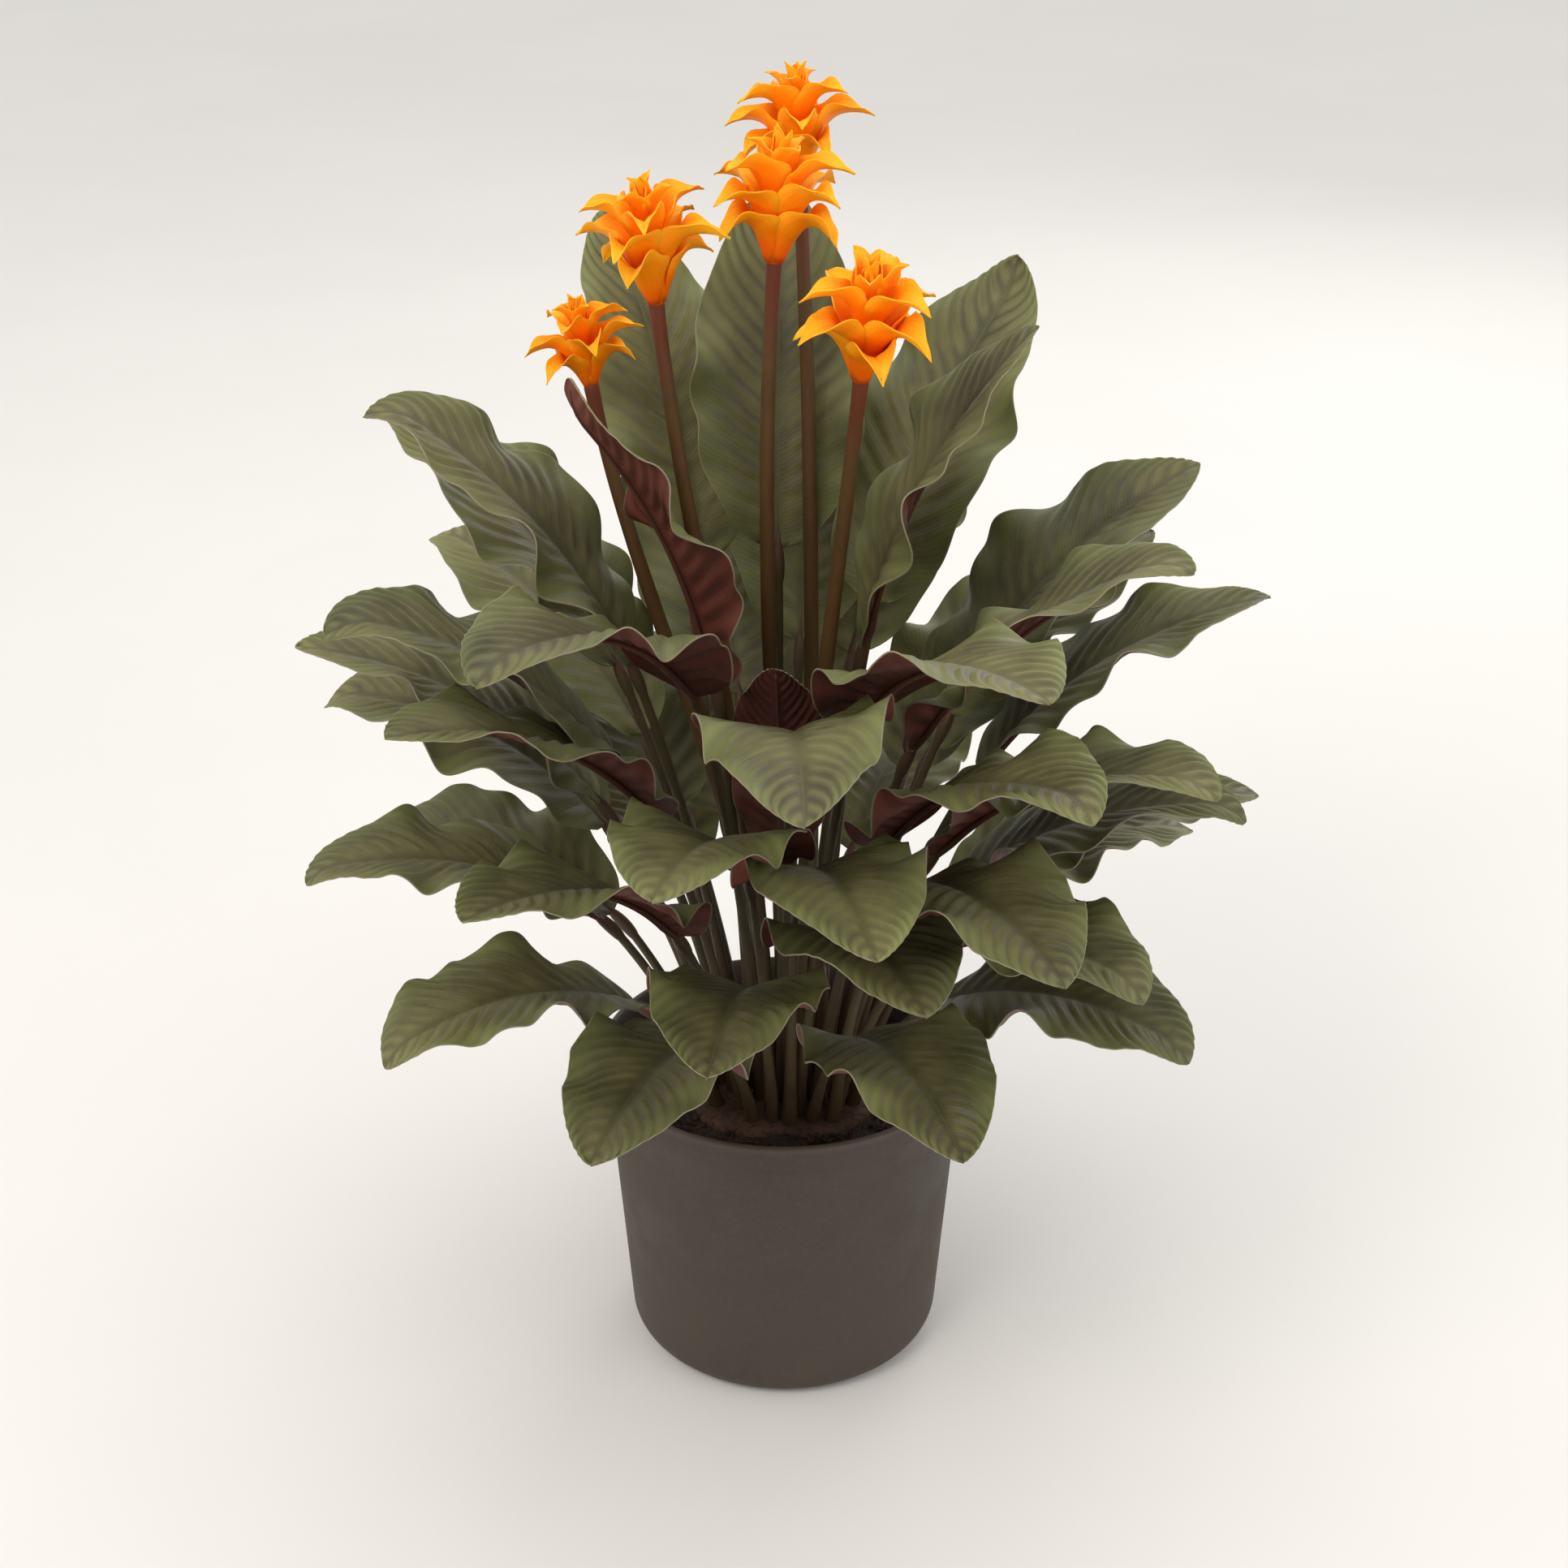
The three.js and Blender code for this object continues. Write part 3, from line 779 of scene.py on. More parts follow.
@dataclass(frozen=True)
class BractFinish(Finish):
    """One side of a bract: deep orange in its pocket, lighter at its lips and tip."""

    specular: float = 0.11
    subsurface: float = 0.32
    glow_radius: Point = (1.0, 0.36, 0.06)
    glow_scale: float = 0.0016
    patch: float = 140.0
    grain: float = 2600.0
    roughness: Pair = (0.40, 0.55)
    base: Colour = (0.38, 0.046, 0.006)
    deep: Colour = (0.95, 0.088, 0.001)
    middle: Colour = (0.99, 0.300, 0.004)
    lip: Colour = (1.0, 0.510, 0.026)
    base_span: Pair = (0.14, 0.0)
    middle_span: Pair = (0.25, 0.60)
    lip_span: Pair = (0.52, 0.92)
    lip_share: float = 0.85
    rim_span: Pair = (0.55, 1.0)
    rim_start: Pair = (0.3, 0.55)
    rim_share: float = 0.7
    drift: float = 0.10
    rays: float = 5.0
    ray_span: Pair = (0.2, 1.0)
    ray_share: float = 0.12
    ray_height: float = 2.0

    def pattern(self, graph: Graph, effects: SharedEffects) -> tuple[Socket, Socket, Socket]:
        """Lays out the colours from pocket to lip, and faint rays, as in Finish."""
        place = graph.place()
        along, across = graph.attribute("along"), graph.attribute("across")
        clouds = self.clouds(graph, effects, place)
        reach = along
        for mask in (clouds, graph.attribute("tone")):
            reach = graph.plus(reach, graph.scaled(mask, self.drift, -0.5 * self.drift))
        colour = graph.blend(graph.smooth(reach, *self.middle_span), self.deep, self.middle)
        rim = graph.shared(effects.edge, "Mask", Across=across, Start=self.rim_span[0],
                           End=self.rim_span[1])
        rim = graph.times(rim, graph.smooth(along, *self.rim_start, 0.0, self.rim_share))
        tip = graph.math("MAXIMUM", graph.smooth(reach, *self.lip_span), rim)
        colour = graph.blend(graph.times(tip, self.lip_share), colour, self.lip)
        rays = graph.math("COSINE", graph.times(across, math.tau * self.rays))
        rays = graph.times(graph.smooth(rays, *self.ray_span), self.ray_share)
        colour = graph.blend(rays, colour, self.deep)
        colour = graph.blend(graph.smooth(along, *self.base_span), colour, self.base)
        grain = self.fine(graph, effects, place)
        return colour, clouds, graph.scaled(rays, self.ray_height, grain)


@dataclass(frozen=True)
class PlasticFinish(Finish):
    """Matt moulded plastic, dusty towards its foot, and rubbed lighter along its rim."""

    patch: float = 32.0
    grain: float = 3000.0
    roughness: Pair = (0.55, 0.72)
    colour: Colour = (0.042, 0.031, 0.022)
    dust: Colour = (0.082, 0.061, 0.043)
    dust_span: Pair = (0.0, 0.07)
    dust_shares: Pair = (0.42, 0.14)
    speck: float = 700.0
    speck_share: float = 0.18
    rubbed: Colour = (0.100, 0.078, 0.056)
    rubbed_span: Pair = (0.1085, 0.1122)
    rubbed_share: float = 0.5

    def pattern(self, graph: Graph, effects: SharedEffects) -> tuple[Socket, Socket, Socket]:
        """Lays out dust, specks and the rubbed rim by height, as in Finish."""
        place = graph.place()
        split = graph.add("ShaderNodeSeparateXYZ")
        graph.feed(split.inputs["Vector"], place)
        level = split.outputs["Z"]
        clouds = self.clouds(graph, effects, place)
        specks = graph.shared(effects.grain, "Hollows", Vector=place, Scale=self.speck)
        fading = graph.smooth(level, *self.dust_span, *self.dust_shares)
        colour = graph.blend(graph.times(clouds, fading), self.colour, self.dust)
        colour = graph.blend(graph.times(specks, self.speck_share), colour, self.dust)
        worn = graph.times(graph.smooth(level, *self.rubbed_span), self.rubbed_share)
        colour = graph.blend(worn, colour, self.rubbed)
        return colour, clouds, self.fine(graph, effects, place)


@dataclass(frozen=True)
class EarthFinish(Finish):
    """Peat or bark: a dark and a light brown in patches and crumbs, with painted shade in the
    hollows of its grain.
    """

    patch: float = 120.0
    grain: float = 900.0
    roughness: Pair = (0.8, 0.96)
    dark: Colour = (0.012, 0.008, 0.005)
    light: Colour = (0.062, 0.038, 0.022)
    tone_share: float = 0.5
    # how strong the painted shade in the grain's hollows is
    hollow_shade_share: float = 0.7

    def pattern(self, graph: Graph, effects: SharedEffects) -> tuple[Socket, Socket, Socket]:
        """Lays out the patches and paints shade into the hollows of the grain, as in Finish."""
        place = graph.place()
        hollows = self.fine(graph, effects, place, "Hollows")
        tone = graph.times(graph.attribute("tone"), self.tone_share)
        share = graph.scaled(self.clouds(graph, effects, place), 1.0 - self.tone_share, tone)
        colour = graph.blend(share, self.dark, self.light)
        # painted shade: the dark brown goes where the bump's grain is low
        colour = graph.blend(graph.times(hollows, self.hollow_shade_share), colour, self.dark)
        return colour, hollows, self.fine(graph, effects, place)


@dataclass(frozen=True)
class FloorFinish(Finish):
    """Plain pale studio floor."""

    patch: float = 3.0
    roughness: Pair = (0.78, 0.82)
    low: Colour = (0.755, 0.745, 0.730)
    high: Colour = (0.775, 0.765, 0.750)

    def pattern(self, graph: Graph, effects: SharedEffects) -> tuple[Socket, Socket, Socket]:
        """Lays out faint cloudy patches, as in Finish."""
        clouds = self.clouds(graph, effects, graph.place())
        return graph.blend(clouds, self.low, self.high), clouds, clouds


class Palette:
    """Every finish of the plant, as materials."""

    def __init__(self) -> None:
        """Makes the materials."""
        effects = SharedEffects()
        self.leaf_upper = BladeFinish("leaf_upper_side", specular=0.32).make(effects)
        self.leaf_under = BladeFinish(
            "leaf_underside", specular=0.3, roughness=(0.5, 0.62), pleat_shading_share=0.45,
            dark=(0.068, 0.021, 0.015), light=(0.130, 0.038, 0.026), line=(0.18, 0.12, 0.085),
            margin=(0.122, 0.035, 0.024), margin_share=0.3,
            midrib=(0.150, 0.044, 0.030)).make(effects)
        self.leaf_rim = StalkFinish(
            "leaf_margin", foot=(0.22, 0.19, 0.12), middle=(0.24, 0.205, 0.13),
            top=(0.22, 0.19, 0.12), streak_share=0.2).make(effects)
        self.petiole = StalkFinish(
            "petiole", specular=0.3, foot=(0.078, 0.050, 0.024), middle=(0.070, 0.054, 0.024),
            top=(0.100, 0.036, 0.024), middle_span=(0.05, 0.3), top_span=(0.5, 0.7)).make(effects)
        self.stem = StalkFinish("flower_stem", specular=0.25, middle_span=(0.10, 0.70),
                                top_span=(0.89, 0.99)).make(effects)
        self.bract_inner = BractFinish("bract_inside").make(effects)
        self.bract_outer = BractFinish(
            "bract_outside", deep=(0.94, 0.130, 0.001), middle=(1.0, 0.265, 0.002),
            middle_span=(0.12, 0.5), lip=(1.0, 0.490, 0.018), lip_share=0.8).make(effects)
        self.plastic = PlasticFinish("pot_plastic", bump_strength=0.15).make(effects)
        self.peat = EarthFinish("peat", bump_strength=0.8, bump_distance=0.0012).make(effects)
        self.fibre = EarthFinish("peat_fibre", dark=(0.05, 0.03, 0.016),
                                 light=(0.16, 0.10, 0.055)).make(effects)
        self.bark = EarthFinish(
            "rhizome_bark", dark=(0.040, 0.020, 0.011), light=(0.150, 0.080, 0.042),
            patch=60.0, grain=400.0, bump_strength=0.6, bump_distance=0.001).make(effects)
        self.floor = FloorFinish("studio_floor", specular=0.2, bump_strength=0.02).make(effects)


# ------------------------------------------------------------------------- plant parts


@dataclass(frozen=True)
class HabitShape:
    """The build of a leaf, as the part's source gives it for each habit."""

    ring: float
    petiole: float
    lean: Pair
    blade: float
    width: float
    pitch: Pair
    fold: float
    wave: float


class Habit(Enum):
    """How a leaf grows, from the upright crown to the arching skirt."""

    CROWN = HabitShape(12.0, 178.0, (2.0, 7.0), 122.0, 57.0, (8.0, 38.0), 17.0, 4.0)
    YOUNG = HabitShape(9.0, 82.0, (1.0, 4.0), 84.0, 34.0, (6.0, 28.0), 22.0, 3.0)
    SHOULDER = HabitShape(15.0, 158.0, (5.0, 15.0), 124.0, 58.0, (18.0, 52.0), 16.0, 5.0)
    BROW = HabitShape(17.0, 142.0, (7.0, 20.0), 120.0, 56.0, (24.0, 62.0), 15.0, 4.0)
    UPPER = HabitShape(19.0, 128.0, (8.0, 24.0), 120.0, 58.0, (28.0, 74.0), 15.0, 5.0)
    WAIST = HabitShape(22.0, 108.0, (10.0, 27.0), 116.0, 56.0, (34.0, 82.0), 15.0, 4.0)
    MIDDLE = HabitShape(24.0, 92.0, (12.0, 30.0), 112.0, 56.0, (38.0, 90.0), 15.0, 5.0)
    LOW = HabitShape(27.0, 72.0, (16.0, 34.0), 106.0, 54.0, (45.0, 100.0), 15.0, 4.0)
    SKIRT = HabitShape(29.0, 52.0, (20.0, 38.0), 102.0, 54.0, (52.0, 112.0), 16.0, 4.0)


@dataclass(frozen=True)
class LeafPlan:
    """Where a leaf stands and faces, and what sets it apart from its habit."""

    habit: Habit
    azimuth: float
    phase: float
    turn: float = 0.0
    roll: float = 0.0
    curl: float = 0.0
    ruffle: float = 2.6
    petiole: float | None = None
    pitch: Pair | None = None
    lean: Pair | None = None
    blade: float | None = None
    ring: float | None = None

    def shape(self) -> HabitShape:
        """Returns the habit with this leaf's own measures in it."""
        names = ("petiole", "pitch", "lean", "blade", "ring")
        own = {name: getattr(self, name) for name in names if getattr(self, name) is not None}
        return replace(self.habit.value, **own)


CROWN, YOUNG, SHOULDER, BROW, UPPER, WAIST, MIDDLE, LOW, SKIRT = Habit

# Habit, compass direction (0 = +X, 90 = +Y), phase of the ripples, and each leaf's own.
LEAF_PLANS = (
    LeafPlan(CROWN, 94, 0, turn=-4, roll=4),
    LeafPlan(CROWN, 206, 90, turn=4, roll=-4, petiole=146, pitch=(10, 44), curl=48),
    LeafPlan(CROWN, -6, 200, roll=10, petiole=156, pitch=(10, 42)),
    LeafPlan(YOUNG, 266, 30),
    LeafPlan(SHOULDER, 48, 40, turn=-4, roll=10, blade=128, curl=40),
    LeafPlan(SHOULDER, 124, 140, roll=-4, petiole=172, pitch=(16, 44)),
    LeafPlan(SHOULDER, 180, 300, roll=-8, petiole=152, lean=(6, 18), pitch=(22, 60), curl=-55),
    LeafPlan(SHOULDER, 238, 120, petiole=160, lean=(5, 18), pitch=(38, 94), curl=-30),
    LeafPlan(SHOULDER, -88, 260, roll=6, petiole=144, lean=(5, 20), pitch=(44, 104)),
    LeafPlan(SHOULDER, -63, 70, petiole=152, lean=(5, 19), pitch=(38, 92), ruffle=1.3),
    LeafPlan(SHOULDER, -26, 180, roll=4, petiole=130, lean=(6, 18), pitch=(28, 66), curl=-40),
    LeafPlan(BROW, 84, 320, petiole=138),
    LeafPlan(BROW, 223, 60, ring=20, petiole=117, lean=(9, 22), pitch=(36, 83)),
    LeafPlan(UPPER, 17, 20, roll=8, pitch=(26, 68)),
    LeafPlan(UPPER, 67, 60, turn=4, petiole=134),
    LeafPlan(UPPER, 106, 250, roll=-6, petiole=118, pitch=(32, 82), curl=35),
    LeafPlan(UPPER, 154, 150, petiole=142, pitch=(28, 69)),
    LeafPlan(UPPER, 204, 330, roll=-8, petiole=126, pitch=(30, 76), curl=-50),
    LeafPlan(UPPER, 258, 10, ring=21, turn=-2, petiole=102, pitch=(38, 94)),
    LeafPlan(UPPER, -57, 220, ring=21, roll=6, petiole=113, lean=(9, 25), pitch=(36, 86), curl=-45),
    LeafPlan(WAIST, 34, 280),
    LeafPlan(WAIST, 141, 10, petiole=111, pitch=(37, 86), curl=-30),
    LeafPlan(WAIST, 186, 100),
    LeafPlan(WAIST, -35, 350, petiole=102, pitch=(36, 88), curl=-35),
    LeafPlan(WAIST, -2, 170, petiole=116, pitch=(32, 78)),
    LeafPlan(MIDDLE, 48, 110, petiole=94),
    LeafPlan(MIDDLE, 90, 210, roll=6, petiole=88, curl=-40),
    LeafPlan(MIDDLE, 128, 70, petiole=80, pitch=(40, 94)),
    LeafPlan(MIDDLE, 168, 170, roll=-6, petiole=90, pitch=(40, 96), curl=-45),
    LeafPlan(MIDDLE, 233, 270, petiole=79),
    LeafPlan(MIDDLE, -78, 350, turn=4, petiole=78, pitch=(42, 100), ruffle=1.3),
    LeafPlan(MIDDLE, -16, 30, petiole=76, curl=-45),
    LeafPlan(LOW, 4, 200),
    LeafPlan(LOW, 110, 300),
    LeafPlan(LOW, 196, 40, curl=-35),
    LeafPlan(LOW, 262, 140, petiole=64),
    LeafPlan(LOW, -48, 240, curl=-40),
    LeafPlan(SKIRT, 22, 130),
    LeafPlan(SKIRT, 68, 30, roll=6, petiole=58),
    LeafPlan(SKIRT, 124, 220, curl=-40),
    LeafPlan(SKIRT, 162, 80, roll=-6, petiole=54),
    LeafPlan(SKIRT, 216, 310, petiole=48, curl=-35),
    LeafPlan(SKIRT, 248, 260, petiole=42),
    LeafPlan(SKIRT, 290, 110, petiole=46),
    LeafPlan(SKIRT, -34, 190, roll=6, petiole=46, curl=-30),
    LeafPlan(MIDDLE, 274, 200, ring=29, turn=8, petiole=104, lean=(8, 22), pitch=(46, 102)),
    LeafPlan(MIDDLE, 302, 40, ring=32, turn=-8, petiole=100, lean=(9, 26), pitch=(50, 106)),
)


class Stir(Enum):
    """What a leaf's noise is for: its layer, and how fast it goes along and across."""

    BUMPS = (0.0, 5.0, 1.8)
    PLEATS = (1.0, 9.0, 2.2)
    RUFFLE = (2.0, 3.0, 1.0)


@dataclass
class Leaf:
    """A leaf: a pleated blade with a rippled edge, on a sheathed petiole with a pulvinus.

    `outline` holds how far the widest place is towards the foot, how full the foot and the
    tip are, and the least share of the width. A span of the blade's pleats or groove is the
    pair of places between which they come in. The other spans are the parts of the petiole's
    colours that the petiole, the pulvinus and the rib take. `lags` are the half turns by
    which the waves and the ruffle of the two sides differ.
    """

    number: int
    plan: LeafPlan
    rows: int = 132
    columns: int = 20
    thickness: Pair = (0.55, 0.32)
    outline: tuple[float, float, float, float] = (0.86, 0.55, 0.62, 0.006)
    keel_flatness: float = 0.45
    curl_from: float = 0.86
    waves: float = 2.6
    ruffle_waves: float = 4.6
    ruffle_drift: float = 2.5
    lags: Pair = (0.6, 1.2)
    swell_pace: float = 1.1
    scallop: float = 0.035
    scallop_lead: float = 0.06
    unevenness: float = 1.6
    noise_steps: Pair = (7.3, 3.1)
    vein_skew: float = 0.9
    vein_bend: float = 1.2
    pleat_height: float = 0.46
    pleat_stir: float = 0.9
    pleat_across: Pair = (0.03, 0.28)
    pleat_foot: Pair = (0.0, 0.1)
    pleat_tip: Pair = (1.0, 0.85)
    pleat_fade: float = 0.8
    groove: float = 0.5
    groove_width: float = 1.3
    groove_span: Pair = (1.0, 0.7)
    sides: int = 14
    rooted: float = 4.0
    sheath_radius: float = 2.7
    petiole_radius: float = 1.5
    petiole_steps: int = 24
    petiole_span: Pair = (0.02, 0.52)
    pulvinus: float = 12.0
    pulvinus_radius: float = 2.15
    pulvinus_steps: int = 8
    pulvinus_power: float = 0.7
    pulvinus_span: Pair = (0.52, 0.62)
    rib_radius: float = 0.3
    rib_power: float = 0.6
    rib_steps: int = 28
    rib_end: float = 0.97
    rib_sink: Pair = (0.0, 0.06)
    rib_span: Pair = (0.62, 1.0)
    shape: HabitShape = field(init=False)
    tone: float = field(init=False)
    phase: float = field(init=False)
    stem_arc: Arc = field(init=False)
    joint_arc: Arc = field(init=False)
    blade_arc: Arc = field(init=False)
    tip_arc: Arc = field(init=False)
    neck: Place = field(init=False)

    def __post_init__(self) -> None:
        """Works out the leaf's axis: its petiole, its pulvinus, its blade and its tip."""
        self.shape = self.plan.shape()
        draw = Random(self.number)
        self.tone, self.phase = draw.random(), draw.uniform(0.0, math.tau)
        shape = self.shape
        self.stem_arc = Arc(0.0, 0.0, shape.petiole, shape.lean)
        top = self.stem_arc.at(1.0)
        self.joint_arc = Arc(top.x, top.z, self.pulvinus, (shape.lean[1], shape.pitch[0]))
        self.neck = self.joint_arc.at(1.0)
        self.blade_arc = Arc(self.neck.x, self.neck.z, shape.blade, shape.pitch)
        bend = self.blade_arc.at(self.curl_from)
        lean = math.degrees(bend.lean)
        rest = 1.0 - self.curl_from
        ends = (lean, lean + (shape.pitch[1] - shape.pitch[0]) * rest - self.plan.curl)
        self.tip_arc = Arc(bend.x, bend.z, shape.blade * rest, ends)

    def build(self, palette: Palette) -> bpy.types.Object:
        """Builds the leaf and dresses it.

        Args:
            palette: the plant's materials.

        Returns:
            The piece that stands for the leaf's CAD node.
        """
        body = Body()
        blade = body.sheet(self.columns, self.rows, self.tone, self._blade_point)
        body.thicken(blade, lambda share: lerp(*self.thickness, share),
                     palette.leaf_upper, palette.leaf_under, palette.leaf_rim)
        body.stalk(list(self._stations()), self.sides, self.tone, palette.petiole)
        angle = math.radians(self.plan.azimuth)
        foot = polar(self.shape.ring, angle, SPROUT_LEVEL)
        place = Matrix.Translation(foot) @ Matrix.Rotation(angle, 4, "Z")
        bmesh.ops.transform(body.bm, matrix=place, verts=body.bm.verts)
        name = f"leaf_{self.number:02d}"
        return body.finish(f"{name}_foliage", name)

    def _half_width(self, u: float) -> float:
        """Works out half the blade's width.

        Args:
            u: the place along the blade, from 0 at its foot to 1 at its tip.

        Returns:
            The half width in millimetres.
        """
        skew, foot, tip, least = self.outline
        oval = math.sin(math.pi * u ** skew)
        return 0.5 * self.shape.width * max(max(oval, 0.0) ** lerp(foot, tip, u), least)

    def _axis(self, u: float) -> Place:
        """Works out a place on the blade's midrib.

        Args:
            u: the share along the blade.

        Returns:
            The place, with the blade's lean there.
        """
        if u <= self.curl_from:
            return self.blade_arc.at(u)
        return self.tip_arc.at((u - self.curl_from) / (1.0 - self.curl_from))

    def _rise(self, row: float, u: float, v: float) -> float:
        """Works out how far the blade stands above its midrib.

        Args:
            row: the vein's place along the midrib, which the pleats follow.
            u: the share along the blade.
            v: the place across it, from -1 to 1.

        Returns:
            The height in millimetres.
        """
        away, half = abs(v), self._half_width(u)
        fold = math.tan(math.radians(self.shape.fold))
        keel = away * half * fold * (1.0 - self.keel_flatness * away)
        lag = self.lags[0] * math.pi if v < 0.0 else 0.0
        angle = math.tau * self.waves * u + math.radians(self.plan.phase) + lag
        ripple = self.shape.wave * math.sin(angle) * self._swell(u) * away ** 2
        ripple += self.plan.ruffle * self._frill(u, v) * away ** 3
        turns = PLEATS * row + (0.5 if v < 0.0 else 0.0)
        spread = ease(*self.pleat_across, away) * (1.0 - self.pleat_fade * away ** 4)
        spread *= ease(*self.pleat_foot, row)
        pleat = self.pleat_height * math.cos(math.tau * turns) * spread
        stir = 1.0 + self.pleat_stir * self._stir(Stir.PLEATS, row, v)
        pleat *= ease(*self.pleat_tip, row) * stir
        dip = math.exp(-((v * half / self.groove_width) ** 2))
        groove = -self.groove * dip * ease(*self.groove_span, u)
        bumps = self._stir(Stir.BUMPS, u, v)
        return keel + ripple + pleat + groove + self.unevenness * bumps * away

    def _swell(self, u: float) -> float:
        """Returns how strong the margin's waves are at u, from 0 at its foot."""
        return math.sin(math.pi * min(1.0, self.swell_pace * u))

    def _frill(self, u: float, v: float) -> float:
        """Works out the margin's own ripple.

        Args:
            u: the share along the blade.
            v: the place across it, whose sign says which margin.

        Returns:
            The ripple, from -1 to 1.
        """
        angle = math.tau * self.ruffle_waves * u + self.phase
        angle += self.lags[1] * math.pi if v < 0.0 else 0.0
        angle += self.ruffle_drift * self._stir(Stir.RUFFLE, u, v)
        return math.sin(angle) * self._swell(u)

    def _stir(self, kind: Stir, along: float, across: float) -> float:
        """Reads this leaf's own smooth noise.

        Args:
            kind: what it is for.
            along: the share along the blade.
            across: the place across it.

        Returns:
            The noise, from about -1 to 1.
        """
        layer, rows, columns = kind.value
        level = self.noise_steps[0] * self.number + self.noise_steps[1] * layer
        return noise.noise(Vector((rows * along, columns * across, level)))

    def _blade_point(self, row: float, v: float) -> Vector:
        """Works out a point of the blade's middle surface.

        Args:
            row: the row's place along the midrib.
            v: the place across, from -1 to 1.

        Returns:
            The point, before the leaf is turned to its own direction.
        """
        u = row + self.vein_skew * abs(v) ** self.vein_bend * row * (1.0 - row)
        place = self._axis(u)
        _, side, upper = place.axes(math.radians(self.plan.roll))
        scallop = 1.0 + self.scallop * self._frill(u + self.scallop_lead, v) * v * v
        spread = v * self._half_width(u) * scallop
        return self._swing() @ (place.point() + side * spread + upper * self._rise(row, u, v))

    def _swing(self) -> Matrix:
        """Works out how the blade is turned against its petiole.

        Returns:
            The turn about the vertical through the top of the petiole.
        """
        pivot = Vector((self.neck.x, 0.0, 0.0))
        turn = Matrix.Rotation(math.radians(self.plan.turn), 4, "Z")
        return Matrix.Translation(pivot) @ turn @ Matrix.Translation(-pivot)

    def _stations(self) -> Iterable[Station]:
        """Works out the sections of the petiole, the pulvinus and the rib under the blade.

        Yields:
            The sections, from inside the rootstock to the blade's tip.
        """
        start = self.stem_arc.at(0.0)
        along = start.axes()[0]
        yield Station(start.point() - along * self.rooted, along, self.sheath_radius, 0.0)
        for step in range(self.petiole_steps + 1):
            t = step / self.petiole_steps
            place = self.stem_arc.at(t)
            radius = lerp(self.petiole_radius, self.sheath_radius, (1.0 - t) ** 3)
            yield Station(place.point(), place.axes()[0], radius, lerp(*self.petiole_span, t))
        for step in range(1, self.pulvinus_steps):
            t = step / self.pulvinus_steps
            place = self.joint_arc.at(t)
            swell = math.sin(math.pi * t) ** self.pulvinus_power
            radius = lerp(self.petiole_radius, self.pulvinus_radius, swell)
            yield Station(place.point(), place.axes()[0], radius, lerp(*self.pulvinus_span, t))
        swing = self._swing()
        turn = swing.to_3x3()
        for step in range(self.rib_steps + 1):
            u = self.rib_end * step / self.rib_steps
            place = self._axis(u)
            along, _, upper = place.axes(math.radians(self.plan.roll))
            radius = lerp(self.petiole_radius, self.rib_radius, u ** self.rib_power)
            sunk = self.groove * ease(*self.groove_span, u) + 0.5 * radius
            centre = swing @ (place.point() - upper * sunk * ease(*self.rib_sink, u))
            yield Station(centre, turn @ along, radius, lerp(*self.rib_span, u))


def bezier(points: Sequence[Sequence[float]], t: float) -> Vector:
    """Works out a point of a cubic Bezier curve.

    Args:
        points: its four control points.
        t: the share of the way along.

    Returns:
        The point.
    """
    a, b, c, d = (Vector(point) for point in points)
    s = 1.0 - t
    return a * s ** 3 + b * (3.0 * s * s * t) + c * (3.0 * s * t * t) + d * t ** 3


def bezier_slope(points: Sequence[Sequence[float]], t: float) -> Vector:
    """Works out the direction of a cubic Bezier curve.

    Args:
        points: its four control points.
        t: the share of the way along.

    Returns:
        The direction, with a length of 1.
    """
    a, b, c, d = (Vector(point) for point in points)
    s = 1.0 - t
    return ((b - a) * s * s + (c - b) * (2.0 * s * t) + (d - c) * t * t).normalized()


@dataclass(frozen=True)
class FlowerPlan:
    """Where a flower grows, and how its head is placed on its stem."""

    foot: Pair
    top: Point
    lean: float
    azimuth: float
    size: float
    spin: float

    def axis(self) -> Vector:
        """Returns the direction of the head's axis."""
        lean = math.radians(self.lean)
        return polar(math.sin(lean), math.radians(self.azimuth), math.cos(lean))


FLOWER_PLANS = (
    FlowerPlan((-5.5, -2.0), (-39.0, -10.0, 383.0), 6, 200, 1.00, 0),
    FlowerPlan((0.0, 0.0), (-3.0, 0.0, 393.0), 4, 20, 1.02, 70),
    FlowerPlan((4.5, -4.5), (23.0, -36.0, 367.0), 14, -70, 1.04, 150),
    FlowerPlan((-4.0, 5.0), (-62.0, 23.0, 346.0), 10, 170, 0.76, 215),
    FlowerPlan((9.0, 5.0), (5.0, 38.0, 409.0), 6, 120, 0.92, 290),
)


